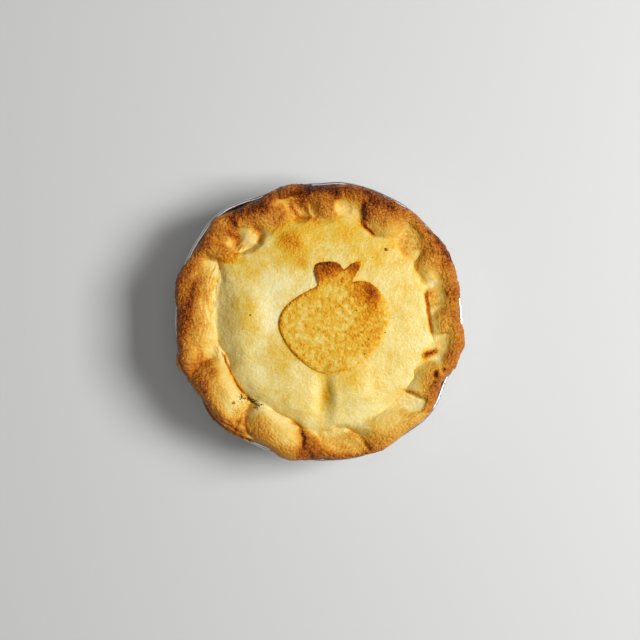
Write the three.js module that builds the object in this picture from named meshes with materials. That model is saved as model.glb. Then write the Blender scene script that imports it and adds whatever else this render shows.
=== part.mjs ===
// An individual apple pie, baked whole in its own round foil tin.
// Four pieces: the tin, the pastry case with its crimped rim, the pastry lid and an apple-shaped cut-out.
// Millimetres, +Z up. The origin is the middle of the tin's flat base.
// Angles are in degrees, counter-clockwise from +X when seen from above.

import * as THREE from "three";
import { mergeVertices } from "three/addons/utils/BufferGeometryUtils.js";

const { clamp, degToRad, lerp, smoothstep } = THREE.MathUtils;

// Steps round the pie, two to each pleat of the tin
const SEGMENTS = 144;
const GAP = 0.3; // air between neighbouring pieces

// Foil tin
const TIN_BASE_RADIUS = 45;
const TIN_CORNER = 2.2; // height and width of the rounded foot of the wall
const TIN_RIM_Z = 31; // middle of the rolled rim
const TIN_BEAD = 0.9; // radius of the rolled rim
const TIN_SHEET = 0.45;
const PLEATS = SEGMENTS / 2;
const PLEAT_DEPTH = 0.7; // at the top of the wall, fading to nothing at its foot
const BEAD_STEPS = 5; // points round the rolled rim
const BEAD_FROM = -75; // the first of them, in degrees above the bead's outermost line
const BEAD_TURN = 60; // from each to the next

// The rolled rim's outer radius, bent out of round by handling: angle, radius
const TIN_RIM = [
  [180, 62.6], [155, 63.9], [136, 64.6], [112, 60.6], [92, 60.3], [79, 61.6], [45, 62.7], [6, 61.8],
  [-12, 62.2], [-24, 60.8], [-40, 62.4], [-56, 61.0], [-74, 61.0], [-88, 60.2], [-113, 60.2], [-145, 61.2],
];

// The crust's outer edge, crest to hollow: angle, radius
const CRUST_EDGE = [
  [190, 62.5], [178, 61.9], [163, 64.8], [152, 62.9], [145, 62.4], [136, 64.2], [125, 60.2], [117, 59.8],
  [103, 60.9], [90, 58.9], [84, 59.8], [73, 61.3], [58, 61.4], [48, 62.3], [41, 62.0], [32, 63.5], [14, 62.4],
  [5, 60.4], [-9.5, 63.4], [-13.5, 62.2], [-18, 62.0], [-26, 59.2], [-40, 61.8], [-52, 60.8], [-64, 61.6],
  [-80, 60.2], [-89, 59.3], [-104, 61.3], [-115, 59.0], [-138, 61.6], [-146, 60.8], [-157, 62.4], [-163, 64.8],
];
const NOSE_WIDTH = 4.2; // how far in from the edge the crust starts to round over
const NOSE_LIFT = 1.6; // height of the edge's outermost line above the crust's underside
const LIP_INSET = 1.2; // the underside ends this far inside the edge

// Where the lid meets the rim, further in where a fold was pressed over it: angle, radius
const SEAM = [
  [148, 51.0], [156, 48.0], [172, 46.6], [190, 44.9], [200, 42.2], [211, 44.4], [229, 45.2], [242, 42.6],
  [257, 44.5], [268, 47.2], [278, 45.9], [290, 47.3], [320, 46.0], [333, 45.3], [348, 48.3], [2, 46.3],
  [17, 47.2], [26, 46.3], [47, 48.0], [57, 43.4], [78, 46.4], [89, 42.7], [104, 46.2], [126, 42.6],
  [143, 47.4],
];

// Pastry lid: a low dome with a flank that falls away along the side where the rim is rolled over it
const LID_TOP_Z = 39.4;
const LID_FALL = 2.2; // the dome's edge is this much lower than its middle
const LID_RADIUS = 46.4; // where it is
const LID_CROWN = 2.6; // power of the dome's fall: flat in the middle, steeper at the edge
const LID_THICKNESS = 3.6;
const FLANK_WIDTH = 10; // the flank starts this far in from the seam
const FLANK_POWER = 1.9; // how late it steepens
// How far the flank falls: angle, depth
const FLANK_FALL = [
  [147, 0], [154, 3.3], [172, 4.2], [202, 4.2], [216, 2.9], [234, 1.9], [258, 1.8], [268, 0.8], [300, 0],
];

// Fruit pushing up under the lid: x, y, half widths and height
const LID_BUMPS = [
  { x: 14, y: -29, across: 10, along: 9.5, rise: 1.9 },
  { x: -12, y: -30, across: 11, along: 9, rise: 1.1 },
  { x: -31, y: 4, across: 7.5, along: 12, rise: 1.7 },
  { x: -10, y: 34, across: 12, along: 7, rise: 0.9 },
  { x: 20, y: 22, across: 14, along: 12, rise: 0.5 },
  { x: 2.4, y: -31.5, across: 3.4, along: 9, rise: -2.1 },
];

// Crimped rim: the pressed band that the folds stand on
const RIM_FOOT_Z = 35.9; // at the seam
const RIM_RISE = 2.3; // from the seam to the outer part
const RIM_RISE_FROM = 0.25; // the rise starts and ends at these shares of the way from seam to edge
const RIM_RISE_TO = 0.75;
const RIM_SINK = 0.4; // share of the lid's flank that the foot sinks by
const FOLD_FOOT_Z = 34.4; // level that every fold rises from
const FOLD_OUTWARD = 17; // how far most folds run outward from the crest, over the edge
const FOLD_BLEND = 1.4; // width of the fillet at a fold's foot

// Folds of dough left standing between thumb presses.
// from, to: angles; crest: radius; reach: how far in it runs; outward: how far out; top: height;
// lean: degrees per mm outward; slant: mm that the crest moves out for each mm along the rim;
// full and brow: powers of its fall along the rim and across it, low for a ridge and high for a flat flap
const FOLDS = [
  { from: 149.5, to: 199, crest: 54.0, reach: 7.8, top: 38.0, lean: 0.1, full: 3.6, brow: 2.4 },
  { from: 188.5, to: 202, crest: 57.8, reach: 5.6, outward: 10, top: 39.4, lean: 0, full: 2.4, brow: 2.2 },
  { from: 140.5, to: 151, crest: 54.5, reach: 14.5, top: 39.2, lean: 0.3, full: 2.4, brow: 2.0 },
  { from: 129.5, to: 143, crest: 58.5, reach: 4.6, outward: 12, top: 38.9, lean: 0.2, full: 3.4, brow: 3.4 },
  { from: 106, to: 127.5, crest: 53.5, reach: 13.5, top: 39.6, lean: 0.35, full: 3.2, brow: 2.0 },
  { from: 97, to: 109.5, crest: 57.8, reach: 3.6, outward: 10, top: 39.7, lean: 0.1, full: 4.0, brow: 4.0 },
  { from: 79, to: 96.5, crest: 53.0, reach: 12.5, top: 39.4, lean: 0.35, full: 2.8, brow: 2.0 },
  { from: 46.5, to: 72, crest: 53.5, reach: 12.0, top: 39.6, lean: 0.35, full: 2.8, brow: 2.2 },
  { from: 20, to: 37, crest: 55.5, reach: 12.0, top: 38.9, lean: 0.4, full: 2.8, brow: 2.2 },
  { from: -7, to: 8.5, crest: 54.5, reach: 8.8, top: 38.7, lean: 0.35, full: 3.0, brow: 2.2 },
  { from: -40, to: -17, crest: 53.5, reach: 9.4, top: 38.8, lean: 0.5, full: 4.6, brow: 2.2 },
  { from: -71, to: -43, crest: 53.0, reach: 11.0, top: 38.9, lean: 0.75, full: 3.0, brow: 2.2 },
  { from: -99.5, to: -88, crest: 54.5, reach: 10.0, top: 38.6, lean: 0.5, full: 2.4, brow: 2.0 },
  {
    from: -129, to: -96.5, crest: 50.6, reach: 8.6, outward: 14,
    top: 39.8, lean: 0.4, slant: 0.2, full: 4.0, brow: 2.6,
  },
  { from: -161, to: -128.5, crest: 52.5, reach: 8.8, top: 39.8, lean: 0.2, full: 3.4, brow: 2.6 },
];

// Thumb presses between the folds.
// at, radius: the middle; along, across: half width along the rim and half length across it;
// floor: its height; rise: from floor to brim; lean: degrees per mm outward;
// flat: power of its rise along the rim
const PRESSES = [
  { at: 132.6, radius: 47.6, along: 7.2, across: 6.4, floor: 33.4, rise: 3.8, lean: 0.35, flat: 2.4 },
  { at: 100.8, radius: 48.2, along: 5.2, across: 5.4, floor: 34.0, rise: 4.0, lean: 0.35, flat: 4.5 },
  { at: 78, radius: 49.5, along: 4.8, across: 4.4, floor: 35.2, rise: 3.0, lean: 0.4, flat: 3.0 },
  { at: 42.3, radius: 51.6, along: 5.4, across: 5.8, floor: 35.6, rise: 1.6, lean: 0.4, flat: 3.0 },
  { at: 12.6, radius: 50.8, along: 4.8, across: 4.6, floor: 35.6, rise: 2.0, lean: 0.3, flat: 3.0 },
  { at: -12.5, radius: 51.6, along: 6.0, across: 4.6, floor: 36.0, rise: 1.6, lean: 0.4, flat: 2.4 },
  { at: -41.5, radius: 52.0, along: 4.2, across: 5.6, floor: 36.2, rise: 1.5, lean: 0.3, flat: 2.4 },
  { at: -80.5, radius: 52.0, along: 8.4, across: 7.2, floor: 35.4, rise: 2.2, lean: 0.9, flat: 2.4 },
];
const PRESS_ACROSS_POWER = 2.6; // how flat a press's floor is across the rim
const PRESS_BLEND = 0.8; // rounding of a press's brim

// Dough left lying in the widest press: x, y, half widths and height
const RIM_BUMPS = [{ x: -30.8, y: 36.6, across: 4.0, along: 4.4, rise: 2.3 }];

// Cut-out in the shape of an apple
const CUTOUT_THICKNESS = 1.3; // from the lid to its top
const CUTOUT_EDGE = 0.7; // rounding of its upper edge
const CUTOUT_STEPS = 96; // points round its outline
const CUTOUT_MIDDLE = new THREE.Vector2(3.5, 1.5); // every point of the outline is in sight from here

// A value given at some angles, eased from each angle to the next all the way round
function roundTheRim(table, deg) {
  const sorted = table.map(([at, value]) => [((at % 360) + 360) % 360, value]).sort((a, b) => a[0] - b[0]);
  const [firstAt, firstValue] = sorted[0];
  const looped = [...sorted, [firstAt + 360, firstValue]];
  const turn = ((((deg - firstAt) % 360) + 360) % 360) + firstAt;
  const next = looped.findIndex(([at]) => at > turn);
  const [at0, value0] = looped[next - 1];
  const [at1, value1] = looped[next];
  return lerp(value0, value1, smoothstep(turn, at0, at1));
}

const turnBetween = (deg, at) => ((((deg - at + 180) % 360) + 360) % 360) - 180;

// The larger of two heights, with the corner between them filled over a width of blend
function blendHigher(a, b, blend) {
  const near = Math.max(blend - Math.abs(a - b), 0) / blend;
  return Math.max(a, b) + (near * near * blend) / 4;
}

const blendLower = (a, b, blend) => -blendHigher(-a, -b, blend);

const tinRim = (deg) => roundTheRim(TIN_RIM, deg);
const crustEdge = (deg) => roundTheRim(CRUST_EDGE, deg);
const seam = (deg) => roundTheRim(SEAM, deg);
const flankFall = (deg) => roundTheRim(FLANK_FALL, deg);

// How much a list of bumps lifts a place
function lifted(bumps, radius, deg) {
  const x = radius * Math.cos(degToRad(deg));
  const y = radius * Math.sin(degToRad(deg));
  const lift = (b) => b.rise * Math.exp(-(((x - b.x) / b.across) ** 2) - ((y - b.y) / b.along) ** 2);
  return bumps.reduce((total, bump) => total + lift(bump), 0);
}

// Place along and across the rim of a point, seen from the middle of a leaning fold or press
function alongAndAcross(radius, deg, at, middle, lean) {
  const across = radius - middle;
  return [degToRad(turnBetween(deg, at + lean * across)) * middle, across];
}

// The folds raised from a surface and the presses sunk into it
function crimped(height, radius, deg) {
  let z = height;
  for (const { from, to, crest, reach, outward = FOLD_OUTWARD, top, lean, slant = 0, full, brow } of FOLDS) {
    const [u, straight] = alongAndAcross(radius, deg, (from + to) / 2, crest, lean);
    const w = straight - slant * u;
    const halfWidth = degToRad((to - from) / 2) * crest;
    const spread = (Math.abs(u) / halfWidth) ** full + (Math.abs(w) / (w < 0 ? reach : outward)) ** brow;
    z = blendHigher(z, FOLD_FOOT_Z + (top - FOLD_FOOT_Z) * (1 - spread), FOLD_BLEND);
  }
  for (const { at, radius: middle, along, across, floor, rise, lean, flat } of PRESSES) {
    const [u, w] = alongAndAcross(radius, deg, at, middle, lean);
    const spread = (Math.abs(u) / along) ** flat + (Math.abs(w) / across) ** PRESS_ACROSS_POWER;
    z = blendLower(z, floor + rise * spread, PRESS_BLEND);
  }
  return z + lifted(RIM_BUMPS, radius, deg);
}

// The plain dome of the lid, before bumps and folds
function lidDome(radius, deg) {
  const downFlank = clamp(1 + (radius - seam(deg)) / FLANK_WIDTH, 0, 1) ** FLANK_POWER;
  return LID_TOP_Z - LID_FALL * (radius / LID_RADIUS) ** LID_CROWN - flankFall(deg) * downFlank;
}

const lidTop = (radius, deg) => crimped(lidDome(radius, deg) + lifted(LID_BUMPS, radius, deg), radius, deg);
const lidUnderside = (radius, deg) => lidDome(radius, deg) - LID_THICKNESS;

function rimTop(radius, deg) {
  const out = (radius - seam(deg)) / (crustEdge(deg) - seam(deg));
  const foot = RIM_FOOT_Z - RIM_SINK * flankFall(deg);
  return crimped(foot + RIM_RISE * smoothstep(out, RIM_RISE_FROM, RIM_RISE_TO), radius, deg);
}

// A closed body made of rings. Each ring is a function from an angle to [radius, height].
// The rings run from the middle of the underside, outward and up, to the middle of the top.
function ringed(rings, segments = SEGMENTS) {
  const profile = rings.map((_, row) => new THREE.Vector2(1, row));
  const geometry = new THREE.LatheGeometry(profile, segments);
  const position = geometry.getAttribute("position");
  for (let i = 0; i < position.count; i++) {
    const deg = ((Math.floor(i / rings.length) % segments) * 360) / segments;
    const [radius, height] = rings[i % rings.length](deg);
    position.setXYZ(i, radius * Math.cos(degToRad(deg)), radius * Math.sin(degToRad(deg)), height);
  }
  return welded(geometry);
}

// The same surface with its shared points joined
function welded(geometry) {
  geometry.deleteAttribute("normal");
  geometry.deleteAttribute("uv");
  const solid = mergeVertices(geometry);
  solid.computeVertexNormals();
  return solid;
}

// The outside of the tin's wall at a height, pleated by a share from 0 (outermost) to 1 (innermost)
function tinWall(deg, z, pleat = (1 - Math.cos(degToRad(PLEATS * deg))) / 2) {
  const up = z / TIN_RIM_Z;
  return lerp(TIN_BASE_RADIUS, tinRim(deg) - 2 * TIN_BEAD, up) - PLEAT_DEPTH * up * pleat;
}

function foilTin() {
  const wallTop = TIN_RIM_Z - TIN_BEAD;
  const baseEdge = TIN_BASE_RADIUS - TIN_CORNER;
  const bead = Array.from({ length: BEAD_STEPS }, (_, step) => {
    const turn = degToRad(BEAD_FROM + BEAD_TURN * step);
    return (deg) => [
      tinRim(deg) - TIN_BEAD + TIN_BEAD * Math.cos(turn),
      TIN_RIM_Z + TIN_BEAD * Math.sin(turn),
    ];
  });
  return ringed([
    () => [0, 0],
    () => [baseEdge, 0],
    (deg) => [tinWall(deg, TIN_CORNER), TIN_CORNER],
    (deg) => [tinWall(deg, wallTop), wallTop],
    ...bead,
    (deg) => [tinWall(deg, wallTop) - TIN_SHEET, wallTop],
    (deg) => [tinWall(deg, TIN_CORNER) - TIN_SHEET, TIN_CORNER],
    () => [baseEdge - TIN_SHEET / 2, TIN_SHEET],
    () => [0, TIN_SHEET],
  ]);
}

// The case fills the tin: it is the bottom crust, the crimped rim and everything under the lid
function pastryCase() {
  const floor = TIN_SHEET + GAP;
  const wallTop = TIN_RIM_Z - TIN_BEAD;
  const inTin = (deg, z) => tinWall(deg, z, 1) - TIN_SHEET - GAP; // just clear of every pleat
  const overRim = TIN_RIM_Z + TIN_BEAD + GAP;
  const edgeZ = overRim + NOSE_LIFT;
  const seatEdge = (deg) => seam(deg) + GAP / 2;
  const seat = (radius, deg) => lidUnderside(radius, deg) - GAP;
  // Rounding of the edge, from its outermost line (0) to the top of the rim (90 degrees)
  const nose = [0, 30, 60].map((turn) => (deg) => {
    const radius = crustEdge(deg) - NOSE_WIDTH * (1 - Math.cos(degToRad(turn)));
    return [radius, lerp(edgeZ, rimTop(radius, deg), Math.sin(degToRad(turn)))];
  });
  const band = [1, 0.87, 0.74, 0.61, 0.48, 0.36, 0.24, 0.12, 0].map((out) => (deg) => {
    const radius = lerp(seatEdge(deg), crustEdge(deg) - NOSE_WIDTH, out);
    return [radius, rimTop(radius, deg)];
  });
  return ringed([
    () => [0, floor],
    () => [TIN_BASE_RADIUS - TIN_CORNER - GAP, floor],
    (deg) => [inTin(deg, TIN_CORNER + GAP), TIN_CORNER + GAP],
    (deg) => [inTin(deg, wallTop), wallTop],
    (deg) => [inTin(deg, wallTop), overRim],
    (deg) => [Math.max(crustEdge(deg) - LIP_INSET, inTin(deg, wallTop) + GAP), overRim],
    ...nose,
    ...band,
    (deg) => [seatEdge(deg), seat(seatEdge(deg), deg)],
    (deg) => [seatEdge(deg) / 2, seat(seatEdge(deg) / 2, deg)],
    (deg) => [0, seat(0, deg)],
  ]);
}

function pastryLid() {
  const edge = (deg) => seam(deg) - GAP / 2;
  const top = [1, 0.95, 0.89, 0.82, 0.74, 0.63, 0.5, 0.34, 0.17, 0].map((out) => (deg) => {
    const radius = edge(deg) * out;
    return [radius, lidTop(radius, deg)];
  });
  return ringed([
    (deg) => [0, lidUnderside(0, deg)],
    (deg) => [edge(deg) / 2, lidUnderside(edge(deg) / 2, deg)],
    (deg) => [edge(deg), lidUnderside(edge(deg), deg)],
    ...top,
  ]);
}

// The apple as a cutter leaves it: round body, short stem and one leaf
function appleOutline() {
  const apple = new THREE.Shape();
  apple.moveTo(14.3, 17.0);
  apple.bezierCurveTo(21.5, 19.6, 28.6, 13.0, 28.8, 1.2);
  apple.bezierCurveTo(28.9, -7.5, 20.5, -15.4, 13.2, -19.8);
  apple.bezierCurveTo(10.0, -21.6, 7.0, -20.4, 2.8, -22.2);
  apple.bezierCurveTo(-5.5, -21.6, -17.4, -9.0, -17.6, -1.0);
  apple.bezierCurveTo(-18.0, 7.0, -8.0, 12.0, -2.2, 14.8);
  apple.quadraticCurveTo(-0.4, 15.8, -0.8, 17.6);
  apple.lineTo(-2.2, 22.0);
  apple.quadraticCurveTo(-2.6, 25.0, 0.2, 25.5);
  apple.bezierCurveTo(3.0, 26.0, 6.4, 26.0, 8.0, 24.9);
  apple.lineTo(9.6, 22.7);
  apple.quadraticCurveTo(10.8, 22.2, 11.6, 23.0);
  apple.lineTo(14.2, 25.0);
  apple.quadraticCurveTo(17.6, 27.2, 17.4, 25.2);
  apple.lineTo(16.0, 21.4);
  apple.lineTo(14.3, 17.0);
  return apple;
}

// Rings of the outline drawn in towards the middle, laid on the lid
function appleCutout() {
  const outline = appleOutline().getSpacedPoints(CUTOUT_STEPS).slice(0, CUTOUT_STEPS).reverse();
  const lidAt = (x, y) => lidTop(Math.hypot(x, y), (Math.atan2(y, x) * 180) / Math.PI);
  const rings = [
    { scale: 0, inset: 0, lift: GAP },
    { scale: 0.5, inset: 0, lift: GAP },
    { scale: 1, inset: 0, lift: GAP },
    { scale: 1, inset: 0, lift: CUTOUT_THICKNESS - CUTOUT_EDGE },
    { scale: 1, inset: CUTOUT_EDGE, lift: CUTOUT_THICKNESS },
    { scale: 0.55, inset: 0, lift: CUTOUT_THICKNESS },
    { scale: 0, inset: 0, lift: CUTOUT_THICKNESS },
  ];
  const profile = rings.map((_, row) => new THREE.Vector2(1, row));
  const geometry = new THREE.LatheGeometry(profile, CUTOUT_STEPS);
  const position = geometry.getAttribute("position");
  for (let i = 0; i < position.count; i++) {
    const { scale, inset, lift } = rings[i % rings.length];
    const spoke = outline[Math.floor(i / rings.length) % CUTOUT_STEPS].clone().sub(CUTOUT_MIDDLE);
    spoke.setLength(spoke.length() * scale - inset);
    const { x, y } = spoke.add(CUTOUT_MIDDLE);
    position.setXYZ(i, x, y, lidAt(x, y) + lift);
  }
  return welded(geometry);
}

function piece(name, geometry, color, roughness, metalness) {
  const mesh = new THREE.Mesh(geometry, new THREE.MeshStandardMaterial({ color, roughness, metalness }));
  mesh.name = name;
  return mesh;
}

const pie = new THREE.Group();
pie.add(
  piece("foil_tin", foilTin(), 0xc9cacb, 0.32, 1.0),
  piece("pastry_case", pastryCase(), 0xc98438, 0.6, 0.0),
  piece("pastry_lid", pastryLid(), 0xeccf86, 0.58, 0.0),
  piece("apple_cutout", appleCutout(), 0xd7a544, 0.55, 0.0),
);

export default pie;
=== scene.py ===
# %% [markdown]
# This lesson dresses an individual apple pie that was baked in its own foil tin.
# The solids of the pie are already packed as a frame: tin, pastry case, pastry lid and a cut-out apple.
# The frame gives the place and the size of every piece, and it is never moved.
# Here each plain solid is replaced by a finer mesh with the finish that the oven gave it.

import math
from collections import namedtuple
from itertools import product

import bmesh
import bpy
import numpy as np
from mathutils import Matrix, Vector
from mathutils.geometry import interpolate_bezier


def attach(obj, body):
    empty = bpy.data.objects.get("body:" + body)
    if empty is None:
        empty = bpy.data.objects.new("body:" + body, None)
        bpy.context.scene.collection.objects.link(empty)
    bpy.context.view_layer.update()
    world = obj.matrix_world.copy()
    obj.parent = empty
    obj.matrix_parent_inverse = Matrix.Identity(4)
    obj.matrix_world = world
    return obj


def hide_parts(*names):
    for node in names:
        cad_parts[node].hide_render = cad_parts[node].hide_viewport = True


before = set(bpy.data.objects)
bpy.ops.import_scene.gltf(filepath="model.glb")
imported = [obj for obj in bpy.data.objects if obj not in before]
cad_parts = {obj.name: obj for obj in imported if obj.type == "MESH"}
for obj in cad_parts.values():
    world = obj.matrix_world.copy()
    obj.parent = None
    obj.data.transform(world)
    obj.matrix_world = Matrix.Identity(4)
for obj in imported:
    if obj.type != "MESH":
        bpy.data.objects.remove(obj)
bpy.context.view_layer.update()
MM = 0.001  # the tables below are in millimetres, and Blender works in metres
print("frame nodes", sorted(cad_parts))

# %% [markdown]
# A hand-made rim has no formula of its own, but its parts do.
# Each fold is a smooth hump and each thumb press a smooth hollow, and they run into one another.
# A sharp maximum would leave a crease where two of them meet, so the helpers here blend over a small width.
# Angles are in degrees, counter-clockwise from +X seen from above.

# %% Small helpers for smooth shapes
def ease(t):
    t = np.clip(t, 0.0, 1.0)
    return t * t * (3.0 - 2.0 * t)


def mix(a, b, t):
    return a + (b - a) * t


def turn_between(deg, at):
    return (deg - at + 180.0) % 360.0 - 180.0


def blend_higher(a, b, width):
    near = np.maximum(width - np.abs(a - b), 0.0) / width
    return np.maximum(a, b) + near * near * width / 4.0


def blend_lower(a, b, width):
    return -blend_higher(-a, -b, width)


def round_the_rim(table, deg):
    """A value given at some angles, eased from each angle to the next all the way round."""
    rows = sorted((at % 360.0, value) for at, value in table)
    at = np.array([row[0] for row in rows] + [rows[0][0] + 360.0])
    value = np.array([row[1] for row in rows] + [rows[0][1]])
    turn = (deg - at[0]) % 360.0 + at[0]
    i = np.clip(np.searchsorted(at, turn, side="right") - 1, 0, len(rows) - 1)
    return mix(value[i], value[i + 1], ease((turn - at[i]) / (at[i + 1] - at[i])))


def lumps(points, size, seed):
    """Smooth noise from -1 to 1 at an array of points, with lumps about as wide as size."""
    cell = points / size
    low = np.floor(cell)
    part = cell - low
    part = part * part * (3.0 - 2.0 * part)
    total = np.zeros(len(points))
    for corner in product((0, 1), repeat=3):
        draw = np.sin((low + corner) @ np.array([127.1, 311.7, 74.7]) + 19.19 * seed) * 43758.5453
        weight = np.prod(np.where(corner, part, 1.0 - part), axis=1)
        total += weight * ((draw - np.floor(draw)) * 2.0 - 1.0)
    return total


print("ease halfway", float(ease(0.5)), "turn from 350 to 10 degrees", turn_between(10.0, 350.0))

# %% [markdown]
# The rim was made by pressing dough against the tin with a thumb.
# What the thumb left standing is a fold, and what it pushed down is a press.
# Each has its own size and its own brownness, from 0 for raw pale dough to 1 for burnt.
# The places and heights are the same as the solid's, so the fine mesh lies where the plain one was.

# %% The crimped rim as folds and presses
# A fold runs from the angle start to the angle end. Its ridge is at the radius crest, with half widths reach
# inwards and out outwards. full and brow say how square it is, lean and slant how far it leans over.
# The tones are its brownness on the inner side, on the ridge and at the outer edge.
Fold = namedtuple(
    "Fold", "start end crest reach out top lean slant full brow inner_tone crest_tone edge_tone"
)
FOLDS = [
    Fold(149.5, 199, 54.0, 7.8, 17, 38.0, 0.10, 0.00, 3.6, 2.4, 0.17, 0.46, 0.68),
    Fold(188.5, 202, 57.8, 5.6, 10, 39.4, 0.00, 0.00, 2.4, 2.2, 0.36, 0.50, 0.60),
    Fold(140.5, 151.0, 54.5, 14.5, 17, 39.2, 0.30, 0.00, 2.4, 2.0, 0.32, 0.49, 0.62),
    Fold(129.5, 143.0, 58.5, 4.6, 12, 38.9, 0.20, 0.00, 3.4, 3.4, 0.45, 0.52, 0.57),
    Fold(106, 127.5, 53.5, 13.5, 17, 39.6, 0.35, 0.00, 3.2, 2.0, 0.36, 0.53, 0.74),
    Fold(97.0, 109.5, 57.8, 3.6, 10, 39.7, 0.10, 0.00, 4.0, 4.0, 0.74, 0.73, 0.70),
    Fold(79, 96.5, 53.0, 12.5, 17, 39.4, 0.35, 0.00, 2.8, 2.0, 0.34, 0.55, 0.78),
    Fold(46.5, 72, 53.5, 12.0, 17, 39.6, 0.35, 0.00, 2.8, 2.2, 0.27, 0.54, 0.75),
    Fold(20, 37, 55.5, 12.0, 17, 38.9, 0.40, 0.00, 2.8, 2.2, 0.32, 0.49, 0.67),
    Fold(-7, 8.5, 54.5, 8.8, 17, 38.7, 0.35, 0.00, 3.0, 2.2, 0.18, 0.48, 0.58),
    Fold(-40, -17, 53.5, 9.4, 17, 38.8, 0.50, 0.00, 4.6, 2.2, 0.19, 0.46, 0.59),
    Fold(-71, -43, 53.0, 11.0, 17, 38.9, 0.75, 0.00, 3.0, 2.2, 0.10, 0.29, 0.43),
    Fold(-99.5, -88, 54.5, 10.0, 17, 38.6, 0.50, 0.00, 2.4, 2.0, 0.52, 0.58, 0.66),
    Fold(-129, -96.5, 50.6, 8.6, 14.0, 39.8, 0.40, 0.20, 4.0, 2.6, 0.08, 0.30, 0.48),
    Fold(-161, -128.5, 52.5, 8.8, 17, 39.8, 0.20, 0.00, 3.4, 2.6, 0.09, 0.36, 0.60),
]
# A press has its middle at an angle and a radius, half widths along and across the rim, and a floor.
# Its brim stands over the floor by depth. flat says how square it is along the rim,
# lean how far it leans over and drag how strongly the finger dragged.
Press = namedtuple("Press", "at radius along across floor depth lean flat tone drag")
PRESSES = [
    Press(132.6, 47.6, 7.2, 6.4, 33.4, 3.8, 0.35, 2.4, 0.21, 0.15),
    Press(100.8, 48.2, 5.2, 5.4, 34.0, 4.0, 0.35, 4.5, 0.36, 0.6),
    Press(78.0, 49.5, 4.8, 4.4, 35.2, 3.0, 0.40, 3.0, 0.24, 0.3),
    Press(42.3, 51.6, 5.4, 5.8, 35.6, 1.6, 0.40, 3.0, 0.36, 0.6),
    Press(12.6, 50.8, 4.8, 4.6, 35.6, 2.0, 0.30, 3.0, 0.36, 0.5),
    Press(-12.5, 51.6, 6.0, 4.6, 36.0, 1.6, 0.40, 2.4, 0.22, 0.2),
    Press(-41.5, 52.0, 4.2, 5.6, 36.2, 1.5, 0.30, 2.4, 0.16, 0.3),
    Press(-80.5, 52.0, 8.4, 7.2, 35.4, 2.2, 0.90, 2.4, 0.34, 0.3),
]
print(len(FOLDS), "folds and", len(PRESSES), "presses round the rim")

# %% [markdown]
# Seen from above, crust and tin are round only by and large. Each edge is given by its radius at some angles,
# and eased from one angle to the next. The crags of the crust and the dents of the tin come later,
# so room is left for them here and nothing grows past the solid.

# %% The edge of the crust and the rim of the tin
CRUST_EDGE = [
    (190, 62.5), (178, 61.9), (163, 64.8), (152, 62.9), (145, 62.4), (136, 64.2), (125, 60.2),
    (117, 59.8), (103, 60.9), (90, 58.9), (84, 59.8), (73, 61.3), (58, 61.4), (48, 62.3), (41, 62.0),
    (32, 63.5), (14, 62.4), (5, 60.4), (-9.5, 63.4), (-13.5, 62.2), (-18, 62.0), (-26, 59.2), (-40, 61.8),
    (-52, 60.8), (-64, 61.6), (-80, 60.2), (-89, 59.3), (-104, 61.3), (-115, 59.0), (-138, 61.6),
    (-146, 60.8), (-157, 62.4), (-163, 64.8),
]
CRAG_ROOM = 0.45  # the crags of the crust stand this far proud of its plain edge
TIN_RIM = [
    (180, 62.6), (155, 63.9), (136, 64.6), (112, 60.6), (92, 60.3), (79, 61.6), (45, 62.7), (6, 61.8),
    (-12, 62.2), (-24, 60.8), (-40, 62.4), (-56, 61.0), (-74, 61.0), (-88, 60.2), (-113, 60.2),
    (-145, 61.2),
]
DENT_ROOM = 0.24  # and the dents of the tin's rim reach in and out by this much


def crust_edge(deg):
    return round_the_rim(CRUST_EDGE, deg) - CRAG_ROOM


def tin_rim(deg):
    return round_the_rim(TIN_RIM, deg) - DENT_ROOM


every_degree = np.arange(360.0)
print("crust edge from", crust_edge(every_degree).min(), "to", crust_edge(every_degree).max(), "mm")

# %% [markdown]
# The lid ends where the rim was folded over it. That seam wanders in and out.
# It is sharp where an edge shows and soft where the dough was pressed into one, and a crease runs along it.
# On one side the lid also falls away towards the seam.

# %% The seam between lid and rim
SEAM = [
    (148, 51.0), (152, 48.8), (156, 48.0), (161, 47.6), (166, 47.2), (172, 46.6), (180, 46.0),
    (190, 44.9), (198, 42.4), (203, 42.0), (211, 44.4), (225, 45.3), (231, 45.0), (236.5, 43.7),
    (242, 42.6), (247, 43.1), (257, 44.5), (263, 46.5), (270, 47.4), (278, 45.9), (286, 47.4),
    (300, 47.2), (310, 46.6), (320, 46.0), (329, 46.4), (333, 45.2), (340, 47.4), (350, 48.5), (0, 46.5),
    (5, 46.2), (17, 47.2), (26, 46.3), (40, 46.8), (48, 48.2), (57, 43.3), (67, 45.6), (78, 46.4),
    (89, 42.6), (104, 46.2), (113, 45.2), (126, 42.5), (135, 43.6), (143, 47.4),
]
SEAM_SHARP = [  # 1 where an edge shows, 0 where lid and rim were pressed into one
    (170, 0.2), (162, 0.8), (152, 1.0), (146, 0.0), (138, 0.9), (128, 0.9), (117, 0.0), (102, 0.9),
    (94, 0.6), (88, 0.0), (77, 0.8), (66, 1.0), (57, 1.0), (50, 0.1), (40, 0.8), (30, 0.9), (20, 0.3),
    (14, 1.0), (-4, 1.0), (-13, 0.6), (-24, 1.0), (-33, 0.8), (-43, 0.3), (-58, 0.0), (-70, 0.2),
    (-82, 0.5), (-92, 0.2), (-104, 1.0), (-121, 0.3), (-130, 0.4), (-137, 0.9), (-146, 1.0), (-153, 0.4),
    (-158, 0.9), (-165, 0.9), (-172, 0.3),
]
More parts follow.
